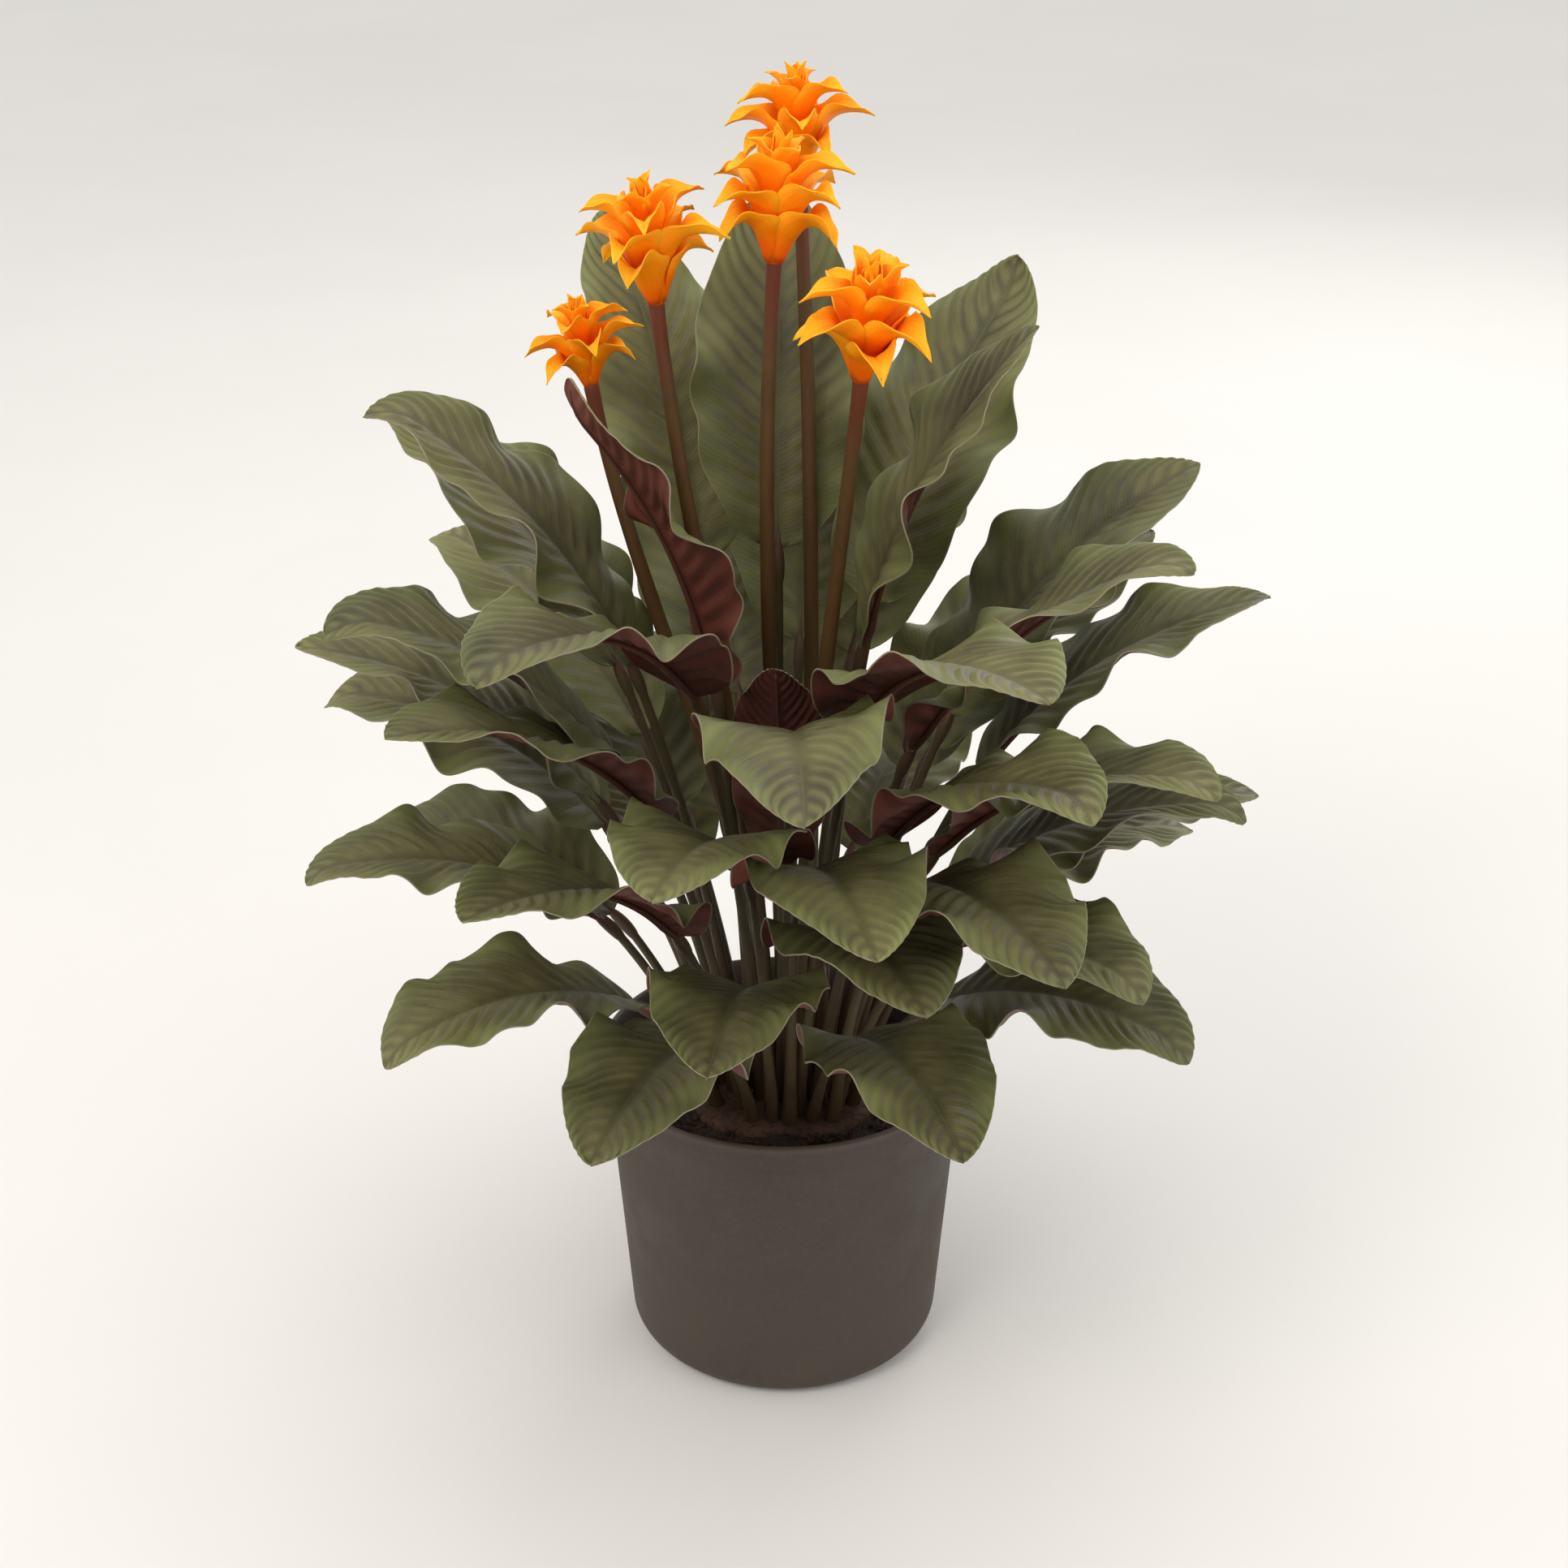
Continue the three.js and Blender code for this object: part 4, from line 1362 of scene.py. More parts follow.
@dataclass
class FlowerStem:
    """A slim round stalk, a little swollen where it carries the head."""

    number: int
    plan: FlowerPlan
    foot_radius: float = 2.8
    top_radius: float = 2.2
    collar: float = 0.35
    collar_span: Pair = (0.965, 1.0)
    waver: float = 0.12
    noise_steps: Pair = (9.0, 3.1)
    reach: float = 0.36
    rooted: float = 4.0
    seated: float = 2.0
    steps: int = 44
    sides: int = 20
    first_seed: int = 70

    def build(self, palette: Palette) -> bpy.types.Object:
        """Builds the stem and dresses it.

        Args:
            palette: the plant's materials.

        Returns:
            The piece that stands for the stem's CAD node.
        """
        body = Body()
        tone = Random(self.first_seed + self.number).random()
        body.stalk(list(self._stations()), self.sides, tone, palette.stem)
        name = f"flower_stem_{self.number:02d}"
        return body.finish(f"{name}_stalk", name)

    def _stations(self) -> Iterable[Station]:
        """Works out the stem's sections.

        Yields:
            The sections, from inside the rootstock to inside the head.
        """
        foot = Vector((*self.plan.foot, SPROUT_LEVEL))
        top, axis = Vector(self.plan.top), self.plan.axis()
        reach = self.reach * (top - foot).length
        curve = (foot, foot + UP * reach, top - axis * reach, top)
        yield Station(foot - UP * self.rooted, UP, self.foot_radius, 0.0)
        for step in range(self.steps + 1):
            t = step / self.steps
            spot = Vector((self.noise_steps[0] * t, self.noise_steps[1] * self.number, 0.0))
            radius = lerp(self.foot_radius, self.top_radius, t)
            radius += self.waver * noise.noise(spot)
            radius += self.collar * ease(*self.collar_span, t)
            yield Station(bezier(curve, t), bezier_slope(curve, t), radius, t)
        yield Station(top + axis * self.seated, axis, self.top_radius, 1.0)


@dataclass(frozen=True)
class BractTier:
    """One ring of like bracts. The spine is a cubic Bezier curve of radius and height."""

    count: int
    start: float
    half_width: float
    spine: tuple[Pair, Pair, Pair, Pair]
    clasp: float = 80.0
    droop: float = 1.5


BRACT_TIERS = (
    BractTier(3, 20, 9.3, ((2.9, 0.2), (6.2, 7.0), (9.4, 21.0), (22.0, 9.5)), droop=2.5),
    BractTier(4, 65, 9.9, ((3.6, 4.5), (6.8, 13.0), (8.8, 27.0), (26.5, 20.0))),
    BractTier(3, 40, 9.2, ((2.8, 13.0), (5.0, 21.0), (6.4, 34.0), (22.0, 28.5))),
    BractTier(3, 100, 5.4, ((1.8, 21.0), (3.0, 28.0), (3.4, 35.0), (11.0, 36.0)), 70.0, 1.0),
    BractTier(3, 35, 3.8, ((0.8, 25.0), (1.2, 31.0), (1.4, 36.0), (4.0, 40.0)), 60.0, 0.6),
)


@dataclass(frozen=True)
class Jitter:
    """How far a bract may differ from its tier, as the ranges that its own are drawn from.

    The shoulder and the tip of its spine move out and up, in millimetres. `width` is a
    factor, `swing` and `twist` are turns in radians about the head's axis and about its
    own, and `sway` is how far its tip leans to a side.
    """

    shoulder_out: Pair = (-0.8, 0.8)
    shoulder_up: Pair = (-1.0, 1.0)
    tip_out: Pair = (-1.8, 0.8)
    width: Pair = (0.93, 1.07)
    swing: Pair = (-0.16, 0.16)
    twist: Pair = (-0.22, 0.22)
    sway: Pair = (-1.6, 1.6)


@dataclass
class Bract:
    """One boat-shaped bract, whose lower half clasps the funnel as a pocket.

    A span is the pair of shares along it between which a feature comes in, or goes out
    where the first is the higher.
    """

    tier: BractTier
    draw: Random
    jitter: Jitter = Jitter()
    boat: float = 0.85
    open_span: Pair = (0.3, 0.8)
    flatten_span: Pair = (1.3, 0.8)
    foot_share: float = 0.36
    tip_power: float = 1.6
    waist: float = 0.08
    least: float = 0.012
    flutter: float = 0.05
    flutter_pace: float = 19.0
    keel: float = 0.3
    keel_span: Pair = (0.45, 0.8)
    overlap: float = 0.09
    frill: float = 0.085
    frill_waves: float = 3.4
    frill_lag: float = 2.0
    frill_spans: tuple[Pair, Pair] = ((0.35, 0.6), (1.02, 0.9))
    groove: float = 0.35
    groove_width: float = 0.14
    groove_spans: tuple[Pair, Pair] = ((0.2, 0.5), (1.0, 0.8))
    bumps: float = 0.45
    bump_paces: Point = (3.0, 1.8, 5.0)
    spine: tuple[Vector, ...] = field(init=False)
    width: float = field(init=False)
    swing: float = field(init=False)
    twist: float = field(init=False)
    phase: float = field(init=False)
    sway: float = field(init=False)

    def __post_init__(self) -> None:
        """Draws the bract's own measures."""
        draw, jitter, tier = self.draw, self.jitter, self.tier
        start, low, high, tip = (Vector(point) for point in tier.spine)
        high += Vector((draw.uniform(*jitter.shoulder_out), draw.uniform(*jitter.shoulder_up)))
        tip += Vector((draw.uniform(*jitter.tip_out), draw.uniform(-tier.droop, tier.droop)))
        self.spine = (start, low, high, tip)
        self.width = tier.half_width * draw.uniform(*jitter.width)
        self.swing, self.twist = draw.uniform(*jitter.swing), draw.uniform(*jitter.twist)
        self.phase, self.sway = draw.uniform(0.0, math.tau), draw.uniform(*jitter.sway)

    def point(self, t: float, v: float) -> Vector:
        """Works out a point of the bract's middle surface, before it goes to its azimuth.

        Args:
            t: the share along the bract.
            v: the place across it, from -1 to 1.

        Returns:
            The point, in the head's own coordinates.
        """
        centre, slope = bezier(self.spine, t), bezier_slope(self.spine, t)
        place = Place(centre.x, centre.y, math.atan2(slope.x, slope.y))
        _, side, upper = place.axes(self.twist * t)
        flutter = self.flutter * math.sin(self.flutter_pace * t + self.phase + v)
        half = self.width * self._outline(t) * (1.0 + flutter)
        clasp = math.radians(self.tier.clasp)
        turn = lerp(clasp, self.boat, ease(*self.open_span, t)) * ease(*self.flatten_span, t)
        across = half * math.sin(v * turn) / turn
        keel = self.keel * ease(*self.keel_span, t)
        rise = half * (1.0 - math.cos(v * turn)) / turn + keel * half * abs(v)
        rise += self.overlap * v * half * (1.0 - t)
        rise += self._frill(t, v) * self._between(self.frill_spans, t)
        dip = math.exp(-((v / self.groove_width) ** 2))
        rise -= self.groove * dip * self._between(self.groove_spans, t)
        along, over, layer = self.bump_paces
        bumps = noise.noise(Vector((along * t, over * v, self.phase * layer)))
        rise += self.bumps * bumps * ease(*self.groove_spans[0], t)
        return place.point() + side * (across + self.sway * t ** 3) + upper * rise

    def _frill(self, t: float, v: float) -> float:
        """Returns the full height of the lips' ripple at a share along and a place across."""
        lag = self.frill_lag if v < 0.0 else 0.0
        wave = math.sin(math.tau * self.frill_waves * t + self.phase + lag)
        return wave * self.frill * self.width * abs(v) ** 3

    @staticmethod
    def _between(spans: tuple[Pair, Pair], t: float) -> float:
        """Returns how much there is at t of what comes in over one span and goes out."""
        return ease(*spans[0], t) * ease(*spans[1], t)

    def _outline(self, t: float) -> float:
        """Works out the bract's outline.

        Args:
            t: the share along the bract.

        Returns:
            The share of its full half width there.
        """
        if t < 0.5:
            return lerp(self.foot_share, 1.0, ease(0.0, 1.0, 2.0 * t) * 0.6 + 0.8 * t)
        s = 2.0 * (t - 0.5)
        taper = 1.0 - s ** self.tip_power
        return max(taper * (1.0 - self.waist * math.sin(math.pi * s)), self.least)


@dataclass
class FlowerHead:
    """A head of bracts in tiers, round a funnel that sits on its stem."""

    number: int
    plan: FlowerPlan
    tiers: tuple[BractTier, ...] = BRACT_TIERS
    rows: int = 26
    columns: int = 14
    thickness: float = 0.55
    tip_thinness: float = 0.55
    funnel: tuple[Pair, ...] = ((0.0, 0.0), (2.5, 0.0), (4.2, 5.0), (5.2, 13.0), (3.8, 22.0),
                                (1.4, 31.0), (0.0, 32.0))
    funnel_steps: int = 24
    first_seed: int = 40

    def build(self, palette: Palette) -> bpy.types.Object:
        """Builds the head and dresses it.

        Args:
            palette: the plant's materials.

        Returns:
            The piece that stands for the head's CAD node.
        """
        body = Body()
        draw = Random(self.first_seed + self.number)
        for tier in self.tiers:
            for index in range(tier.count):
                azimuth = math.radians(tier.start + index * 360 / tier.count)
                self._add_bract(body, Bract(tier, draw), azimuth, palette)
        body.turned(self.funnel, self.funnel_steps, palette.bract_outer)
        axis = self.plan.axis()
        place = (Matrix.Translation(Vector(self.plan.top) + axis * GAP)
                 @ UP.rotation_difference(axis).to_matrix().to_4x4()
                 @ Matrix.Rotation(math.radians(self.plan.spin), 4, "Z")
                 @ Matrix.Scale(self.plan.size, 4))
        bmesh.ops.transform(body.bm, matrix=place, verts=body.bm.verts)
        name = f"flower_head_{self.number:02d}"
        return body.finish(f"{name}_bracts", name)

    def _add_bract(self, body: Body, bract: Bract, azimuth: float, palette: Palette) -> None:
        """Adds one bract.

        Args:
            body: the head's mesh.
            bract: the bract, whose source of draws also gives its tone.
            azimuth: its direction round the head, in radians.
            palette: the plant's materials.
        """
        sheet = body.sheet(self.columns, self.rows, bract.draw.random(), bract.point)
        body.thicken(sheet, lambda share: self.thickness * lerp(1.0, self.tip_thinness, share),
                     palette.bract_inner, palette.bract_outer, palette.bract_inner)
        verts = list(_connected([sheet[0].verts[0]]))
        bmesh.ops.rotate(body.bm, cent=(0, 0, 0), verts=verts,
                         matrix=Matrix.Rotation(azimuth + bract.swing, 3, "Z"))


@dataclass
class NurseryPot:
    """A tapered nursery pot with a rolled rim band, a round lower corner and drain holes.

    The points of `lip_fillet` are out from the wall and up from the rim band's foot, those
    of `lip_round` are in from the band's face and up from its foot, and those of
    `rim_outside` and `rim_inside` are in from either face and down from the top.
    """

    height: float = 112.0
    rim_radius: float = 65.0
    rim_depth: float = 9.0
    rim_width: float = 2.4
    rim_outside: tuple[Pair, ...] = ((0.0, 1.2), (0.35, 0.35), (1.2, 0.0))
    rim_inside: tuple[Pair, ...] = ((0.5, 0.0), (0.0, 0.5))
    lip_fillet: tuple[Pair, ...] = ((0.1, -0.9), (0.6, -0.2))
    lip_round: tuple[Pair, ...] = ((0.9, 0.0), (0.3, 0.2), (0.0, 0.8))
    shoulder_radius: float = 62.5
    foot_radius: float = 54.5
    corner: float = 11.0
    wall: float = 1.6
    wall_levels: tuple[float, ...] = (30.0, 50.0, 70.0, 90.0)
    floor: float = 2.2
    floor_radius: float = 46.0
    drain_count: int = 8
    drain_radius: float = 4.0
    drain_ring: float = 34.0
    drain_steps: int = 24
    steps: int = 112

    def radius(self, level: float) -> float:
        """Returns the outer radius of the wall at a height above its round corner."""
        return lerp(self.foot_radius, self.shoulder_radius,
                    level / (self.height - self.rim_depth))

    def arc(self, radius: float, level: float, turn: float, steps: int = 9) -> list[Pair]:
        """Gives the points round the lower corner, from the foot to the wall.

        Args:
            radius: radius at the top of the corner.
            level: height of its foot.
            turn: radius of the corner itself.
            steps: faces round it.

        Returns:
            Points of radius and height.
        """
        angles = (0.5 * math.pi * step / steps for step in range(steps + 1))
        return [(radius - turn * (1.0 - math.sin(a)), level + turn * (1.0 - math.cos(a)))
                for a in angles]

    def build(self, palette: Palette) -> bpy.types.Object:
        """Builds the pot and dresses it.

        Args:
            palette: the plant's materials.

        Returns:
            The piece that stands for the pot's CAD node.
        """
        body = Body()
        lip = self.height - self.rim_depth
        corner, lip_wall = self.radius(self.corner), self.radius(lip)
        outer, inner = self.rim_radius, self.rim_radius - self.rim_width
        body.spun([
            (self.floor_radius, 0.0), *self.arc(corner, 0.0, self.corner),
            *[(self.radius(level), level) for level in self.wall_levels],
            *[(lip_wall + out, lip + up) for out, up in self.lip_fillet],
            *[(outer - inset, lip + up) for inset, up in self.lip_round],
            *[(outer - inset, self.height - down) for inset, down in self.rim_outside],
            *[(inner + inset, self.height - down) for inset, down in self.rim_inside],
            (lip_wall - self.wall, lip),
            *reversed(self.arc(corner - self.wall, self.floor, self.corner - self.wall)),
            (self.floor_radius, self.floor),
        ], self.steps)
        self._fill_floor(body, 0.0)
        self._fill_floor(body, self.floor)
        self._line_holes(body)
        bmesh.ops.remove_doubles(body.bm, verts=body.bm.verts, dist=0.01)
        bmesh.ops.recalc_face_normals(body.bm, faces=body.bm.faces)
        body.paint(body.bm.faces, palette.plastic)
        return body.finish("pot_shell", "pot")

    def _fill_floor(self, body: Body, level: float) -> None:
        """Fills one side of the floor, round its drain holes.

        Args:
            body: the pot's mesh.
            level: the height of that side.
        """
        edges = self._circle(body, Matrix.Translation((0, 0, level)), self.floor_radius,
                             self.steps)
        for place in self._holes(level):
            edges += self._circle(body, place, self.drain_radius, self.drain_steps)
        bmesh.ops.triangle_fill(body.bm, use_beauty=True, edges=edges)

    def _line_holes(self, body: Body) -> None:
        """Joins the two sides of the floor through each drain hole.

        Args:
            body: the pot's mesh.
        """
        for place in self._holes(0.0):
            edges = self._circle(body, place, self.drain_radius, self.drain_steps)
            made = bmesh.ops.extrude_edge_only(body.bm, edges=edges)["geom"]
            bmesh.ops.translate(body.bm, vec=(0, 0, self.floor), verts=[
                item for item in made if isinstance(item, Vert)])

    @staticmethod
    def _circle(body: Body, place: Matrix, radius: float, steps: int) -> list[Edge]:
        """Adds a circle of edges.

        Args:
            body: the pot's mesh.
            place: where the circle's middle goes.
            radius: its radius.
            steps: how many edges it has.

        Returns:
            The edges.
        """
        verts = bmesh.ops.create_circle(body.bm, segments=steps, radius=radius,
                                        matrix=place)["verts"]
        return list({edge for vert in verts for edge in vert.link_edges})

    def _holes(self, level: float) -> Iterable[Matrix]:
        """Works out where the drain holes are.

        Args:
            level: the height of the side of the floor.

        Yields:
            The place of each hole there.
        """
        for index in range(self.drain_count):
            angle = math.tau * (index + 0.5) / self.drain_count
            yield Matrix.Translation(polar(self.drain_ring, angle, level))


@dataclass
class PottingMix:
    """Peat that fills the pot to below its rim, with loose crumbs and fibres on top.

    `rough_from` holds how far below the edge and how far inside it the roughness starts.
    `lumps` holds the height of the surface's waves, how fine they are and how far they are
    lowered, and `pores` the height and the fineness of the small ones. Sizes, lengths and
    tilts are the ranges that a crumb's or fibre's own is drawn from, and those of
    `crumb_shape` are shares of a crumb's size.
    """

    surface: float = 97.0
    mound: float = 1.5
    edge_width: float = 4.0
    edge_dip: float = 1.0
    ring_count: int = 19
    ring_step: float = 2.6
    corner_steps: int = 5
    steps: int = 120
    rough_from: Pair = (0.5, 1.0)
    lumps: Point = (0.9, 0.16, 0.3)
    pores: Pair = (0.45, 0.6)
    tone_pace: float = 0.3
    seed: int = 11
    crumbs: int = 620
    fibres: int = 150
    clump: float = 34.0
    clear_edge: float = 2.5
    lift: float = 0.3
    any_turn: Pair = (0.0, 6.28)
    crumb_size: Pair = (0.45, 1.5)
    crumb_power: float = 1.3
    crumb_shape: tuple[Pair, Pair] = ((0.6, 1.0), (0.45, 0.8))
    crumb_dents: Pair = (0.8, 1.15)
    fibre_radius: Pair = (0.12, 0.25)
    fibre_length: Pair = (2.0, 6.5)
    fibre_tilt: Pair = (1.35, 1.6)
    fibre_taper: float = 0.6
    fibre_sides: int = 5

    def build(self, pot: NurseryPot, palette: Palette) -> bpy.types.Object:
        """Builds the mix and dresses it.

        Args:
            pot: the pot that it fills.
            palette: the plant's materials.

        Returns:
            The piece that stands for the mix's CAD node.
        """
        body = Body()
        foot = pot.floor + GAP
        inner = pot.radius(pot.corner) - pot.wall - GAP
        top = pot.radius(self.surface) - pot.wall - 2 * GAP
        edge_level = self.surface - self.edge_dip
        rings = [top - self.edge_width - self.ring_step * step for step in range(self.ring_count)]
        body.turned([
            (0.0, foot), *pot.arc(inner, foot, pot.corner - pot.wall, self.corner_steps),
            (top, edge_level), *[(radius, self.level(radius, top)) for radius in rings],
            (0.0, self.surface + self.mound),
        ], self.steps, palette.peat)
        below, inside = self.rough_from
        height, pace, drop = self.lumps
        for vert in body.bm.verts:
            if vert.co.z > edge_level - below and vert.co.xy.length < top - inside:
                vert.co.z += height * noise.noise(vert.co * pace) - drop
                vert.co.z += self.pores[0] * noise.noise(vert.co * self.pores[1])
            vert[body.tone] = 0.5 + 0.5 * noise.noise(vert.co * self.tone_pace)
        self._scatter(body, top, Random(self.seed), palette)
        return body.finish("potting_mix_peat", "potting_mix")

    def level(self, radius: float, top: float) -> float:
        """Works out the height of the smooth surface.

        Args:
            radius: the distance from the axis.
            top: the radius of the surface.

        Returns:
            The height there.
        """
        share = min(radius / (top - self.edge_width), 1.0)
        return self.surface + self.mound * (1.0 - share)

    def _scatter(self, body: Body, top: float, draw: Random, palette: Palette) -> None:
        """Scatters crumbs and fibres over the surface, outside the rootstock.

        Args:
            body: the mix's mesh.
            top: the radius of the surface.
            draw: the source of their places and shapes.
            palette: the plant's materials.
        """
        for index in range(self.crumbs + self.fibres):
            reach = math.sqrt(draw.uniform(self.clump ** 2, (top - self.clear_edge) ** 2))
            spot = polar(reach, draw.uniform(0.0, math.tau), self.level(reach, top))
            turn = Matrix.Rotation(draw.uniform(*self.any_turn), 4, draw.choice("XYZ"))
            if index < self.crumbs:
                verts, shape = self._crumb(body, draw)
                material = palette.peat
            else:
                verts, shape = self._fibre(body, draw)
                turn = (Matrix.Rotation(draw.uniform(*self.any_turn), 4, "Z")
                        @ Matrix.Rotation(draw.uniform(*self.fibre_tilt), 4, "X"))
                material = palette.fibre
            place = Matrix.Translation(spot + UP * self.lift) @ turn @ shape
            bmesh.ops.transform(body.bm, verts=verts, matrix=place)
            tone = draw.random()
            for vert in verts:
                vert[body.tone] = tone
            body.paint({face for vert in verts for face in vert.link_faces}, material)

    def _crumb(self, body: Body, draw: Random) -> tuple[list[Vert], Matrix]:
        """Adds a dented ball.

        Args:
            body: the mix's mesh.
            draw: the source of its shape.

        Returns:
            Its vertices, and the size to give them.
        """
        size = draw.uniform(*self.crumb_size) ** self.crumb_power
        verts = bmesh.ops.create_icosphere(body.bm, subdivisions=1, radius=1.0)["verts"]
        depth, height = (size * draw.uniform(*share) for share in self.crumb_shape)
        for vert in verts:
            vert.co *= draw.uniform(*self.crumb_dents)
        return verts, Matrix.Diagonal((size, depth, height, 1.0))

    def _fibre(self, body: Body, draw: Random) -> tuple[list[Vert], Matrix]:
        """Adds a thin tapered rod.

        Args:
            body: the mix's mesh.
            draw: the source of its shape.

        Returns:
            Its vertices, and the size to give them.
        """
        size = draw.uniform(*self.fibre_radius)
        verts = bmesh.ops.create_cone(body.bm, cap_ends=True, segments=self.fibre_sides,
                                      radius1=1.0, radius2=self.fibre_taper,
                                      depth=2.0)["verts"]
        return verts, Matrix.Diagonal((size, size, draw.uniform(*self.fibre_length), 1.0))


@dataclass
class Rootstock:
    """The rhizome clump: flat-topped round knobs that have grown together.

    The points of `belly` are shares of a lobe's radius with heights above its foot, and
    those of `shoulder` are in from its side and down from its top. `bark` holds the height
    of the bark's ridges on the side and what is always taken off, and `paces` are how fine
    the coarse ridges, the fine ridges and the patches of tone are.
    """

    lobes: int = 5
    lobe_radius: float = 22.0
    lobe_depth: float = 20.0
    lobe_offset: float = 17.0
    first_lobe: float = 0.25
    belly: tuple[Pair, ...] = ((0.35, 0.0), (0.6, 0.6), (0.8, 3.5), (0.95, 7.5), (1.0, 11.0))
    shoulder: tuple[Pair, ...] = ((0.0, 3.0), (0.6, 1.2), (1.8, 0.3))
    rings: int = 7
    steps: int = 40
    bark: Pair = (0.5, 0.3)
    pits: float = 0.6
    pit_zone: float = 1.0
    paces: Point = (0.35, 0.9, 0.12)

    def build(self, palette: Palette) -> bpy.types.Object:
        """Builds the clump and dresses it.

        Args:
            palette: the plant's materials.

        Returns:
            The piece that stands for the rootstock's CAD node.
        """
        body = Body()
        for index in range(self.lobes):
            angle = math.tau * (index + self.first_lobe) / self.lobes
            skin = body.turned(self._profile(), self.steps, palette.bark)
            verts = list({vert for face in skin for vert in face.verts})
            offset = polar(self.lobe_offset, angle)
            self._roughen(body, verts, offset)
            bmesh.ops.translate(body.bm, vec=offset, verts=verts)
        return body.finish("rootstock_clump", "rootstock")

    def _profile(self) -> list[Pair]:
        """Works out the profile of a lobe.

        Returns:
            Points of radius and height, from the axis at the foot to the axis at the top.
        """
        foot, flat = ROOT_TOP - self.lobe_depth, self.lobe_radius - self.shoulder[-1][0]
        return [(0.0, foot), *[(share * self.lobe_radius, foot + up) for share, up in self.belly],
                *[(self.lobe_radius - inset, ROOT_TOP - down) for inset, down in self.shoulder],
                *[(flat * (1.0 - step / self.rings), ROOT_TOP)
                  for step in range(1, self.rings + 1)]]

    def _roughen(self, body: Body, verts: list[Vert], offset: Vector) -> None:
        """Cuts the bark's ridges into a lobe, inwards only, so that it keeps its size.

        Args:
            body: the clump's mesh.
            verts: the lobe's vertices.
            offset: the lobe's place, which makes its noise its own.
        """
        coarse, fine, patches = self.paces
        ridge, always = self.bark
        for vert in verts:
            flat = Vector((vert.co.x, vert.co.y, 0.0))
            rough = noise.noise(vert.co * coarse + offset) + noise.noise(vert.co * fine)
            vert.co -= flat.normalized() * max(ridge * rough + always, 0.0)
            if vert.co.z > ROOT_TOP - self.pit_zone:
                vert.co.z -= max(self.pits * rough, 0.0)
            vert[body.tone] = 0.5 + 0.5 * noise.noise(vert.co * patches + offset)


@dataclass(frozen=True)
class Softbox:
    """An area light: where it hangs, what it aims at, its size and its power."""

    name: str
    place: Point
    target: Point
    size: float
    power: float
    colour: Colour = (1.0, 1.0, 1.0)


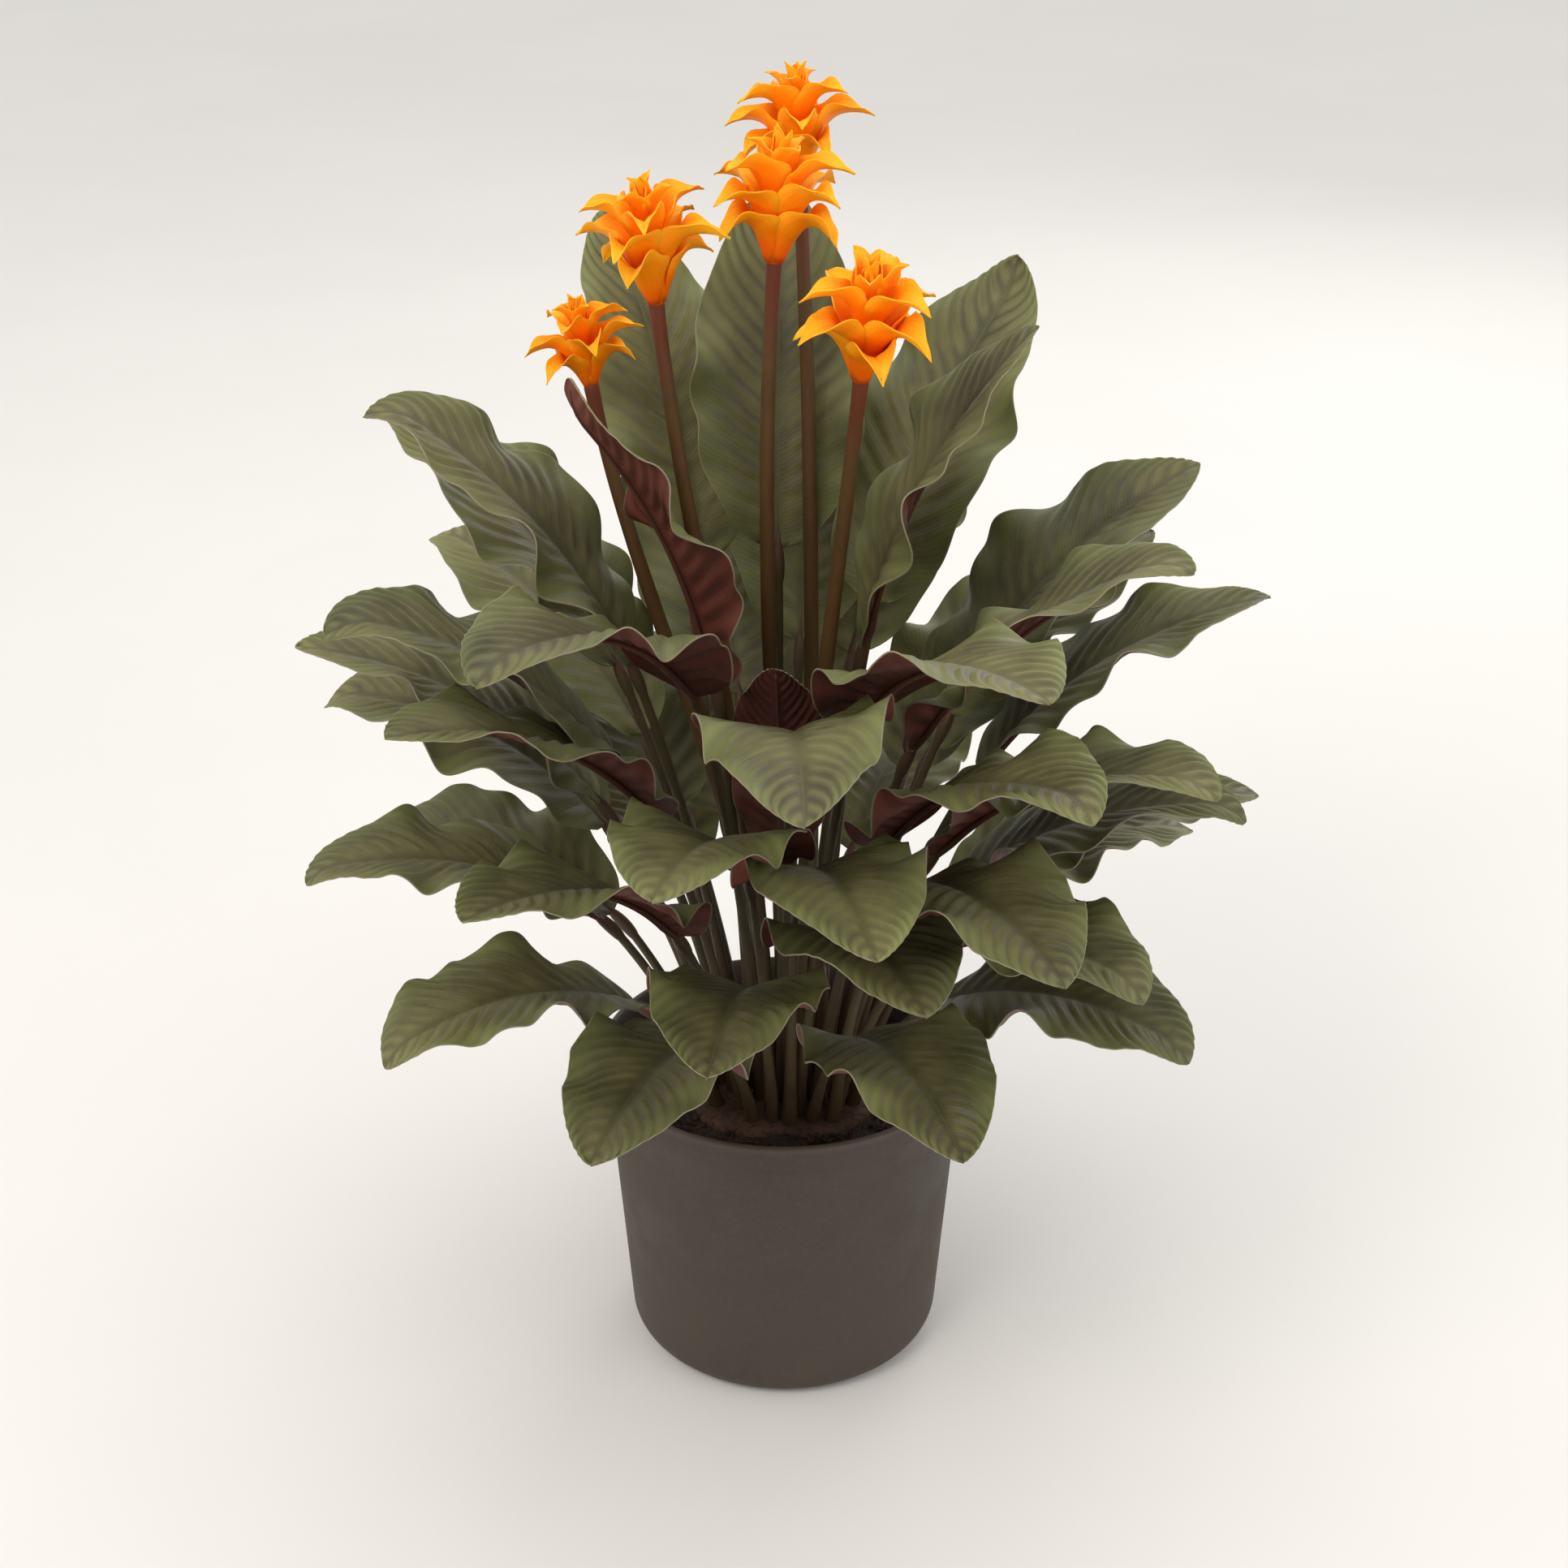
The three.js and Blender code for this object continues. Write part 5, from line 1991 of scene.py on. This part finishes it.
@dataclass
class Studio:
    """A pale floor, soft lights and the camera. Lengths are in metres."""

    floor_radius: float = 6.0
    floor_sides: int = 64
    eye: Point = (0.0, -0.825, 0.618)
    aim: Point = (0.0, 0.0, 0.215)
    view_angle: float = 32.0
    near_clip: float = 0.01
    sky: float = 0.90
    sky_colour: Colour = (1.0, 0.985, 0.96)
    softboxes: tuple[Softbox, ...] = (
        Softbox("key_light", (-0.75, -1.05, 1.35), (0.0, 0.0, 0.30), 0.8, 11.0,
                (1.0, 0.94, 0.85)),
        Softbox("fill_light", (1.15, -0.7, 0.75), (0.0, 0.0, 0.25), 1.1, 3.0,
                (1.0, 0.98, 0.95)),
        Softbox("top_light", (0.05, 0.25, 1.6), (0.0, 0.0, 0.30), 1.1, 4.0,
                (1.0, 0.97, 0.93)),
        Softbox("back_light", (0.6, 1.3, 0.9), (0.0, 0.0, 0.28), 0.9, 4.0,
                (1.0, 0.97, 0.93)),
    )

    def build(self, palette: Palette) -> None:
        """Builds the floor, the lights and the camera.

        Args:
            palette: the materials, the floor's among them.
        """
        self._lay_floor(palette.floor)
        for box in self.softboxes:
            self._hang(box)
        world = bpy.data.worlds.new("studio_sky")
        world.use_nodes = True
        background = world.node_tree.nodes["Background"]
        background.inputs["Color"].default_value = (*self.sky_colour, 1.0)
        background.inputs["Strength"].default_value = self.sky
        bpy.context.scene.world = world
        bpy.context.scene.view_settings.view_transform = "Standard"
        camera = bpy.data.cameras.new("camera")
        camera.angle = math.radians(self.view_angle)
        camera.clip_start = self.near_clip
        self._place(bpy.data.objects.new("camera", camera), self.eye, self.aim)
        bpy.context.scene.camera = bpy.data.objects["camera"]

    def _lay_floor(self, material: Material) -> None:
        """Lays the round floor, which isn't part of the plant.

        Args:
            material: its material.
        """
        bm = bmesh.new()
        bmesh.ops.create_circle(bm, cap_ends=True, segments=self.floor_sides,
                                radius=self.floor_radius)
        mesh = bpy.data.meshes.new("studio_floor")
        bm.to_mesh(mesh)
        bm.free()
        mesh.materials.append(material)
        floor = bpy.data.objects.new("studio_floor", mesh)
        bpy.context.scene.collection.objects.link(floor)

    def _hang(self, box: Softbox) -> None:
        """Hangs a softbox.

        Args:
            box: the softbox.
        """
        light = bpy.data.lights.new(box.name, "AREA")
        light.shape, light.size = "DISK", box.size
        light.energy, light.color = box.power, box.colour
        self._place(bpy.data.objects.new(box.name, light), box.place, box.target)

    @staticmethod
    def _place(thing: bpy.types.Object, place: Point, target: Point) -> None:
        """Puts a light or a camera in the studio.

        Args:
            thing: the light or the camera.
            place: where it goes.
            target: the point that it is aimed at.
        """
        aim = Vector(target) - Vector(place)
        thing.location = place
        thing.rotation_euler = aim.to_track_quat("-Z", "Y").to_euler()
        bpy.context.scene.collection.objects.link(thing)


def main() -> None:
    """Builds the plant, its pot and the studio, and reports each piece."""
    logging.basicConfig(level=logging.INFO, format="%(message)s")
    palette = Palette()
    pot = NurseryPot()
    pot.build(palette)
    PottingMix().build(pot, palette)
    Rootstock().build(palette)
    for number, plan in enumerate(LEAF_PLANS, 1):
        Leaf(number, plan).build(palette)
    for number, plan in enumerate(FLOWER_PLANS, 1):
        FlowerStem(number, plan).build(palette)
        FlowerHead(number, plan).build(palette)
    Studio().build(palette)


if __name__ == "__main__":
    main()
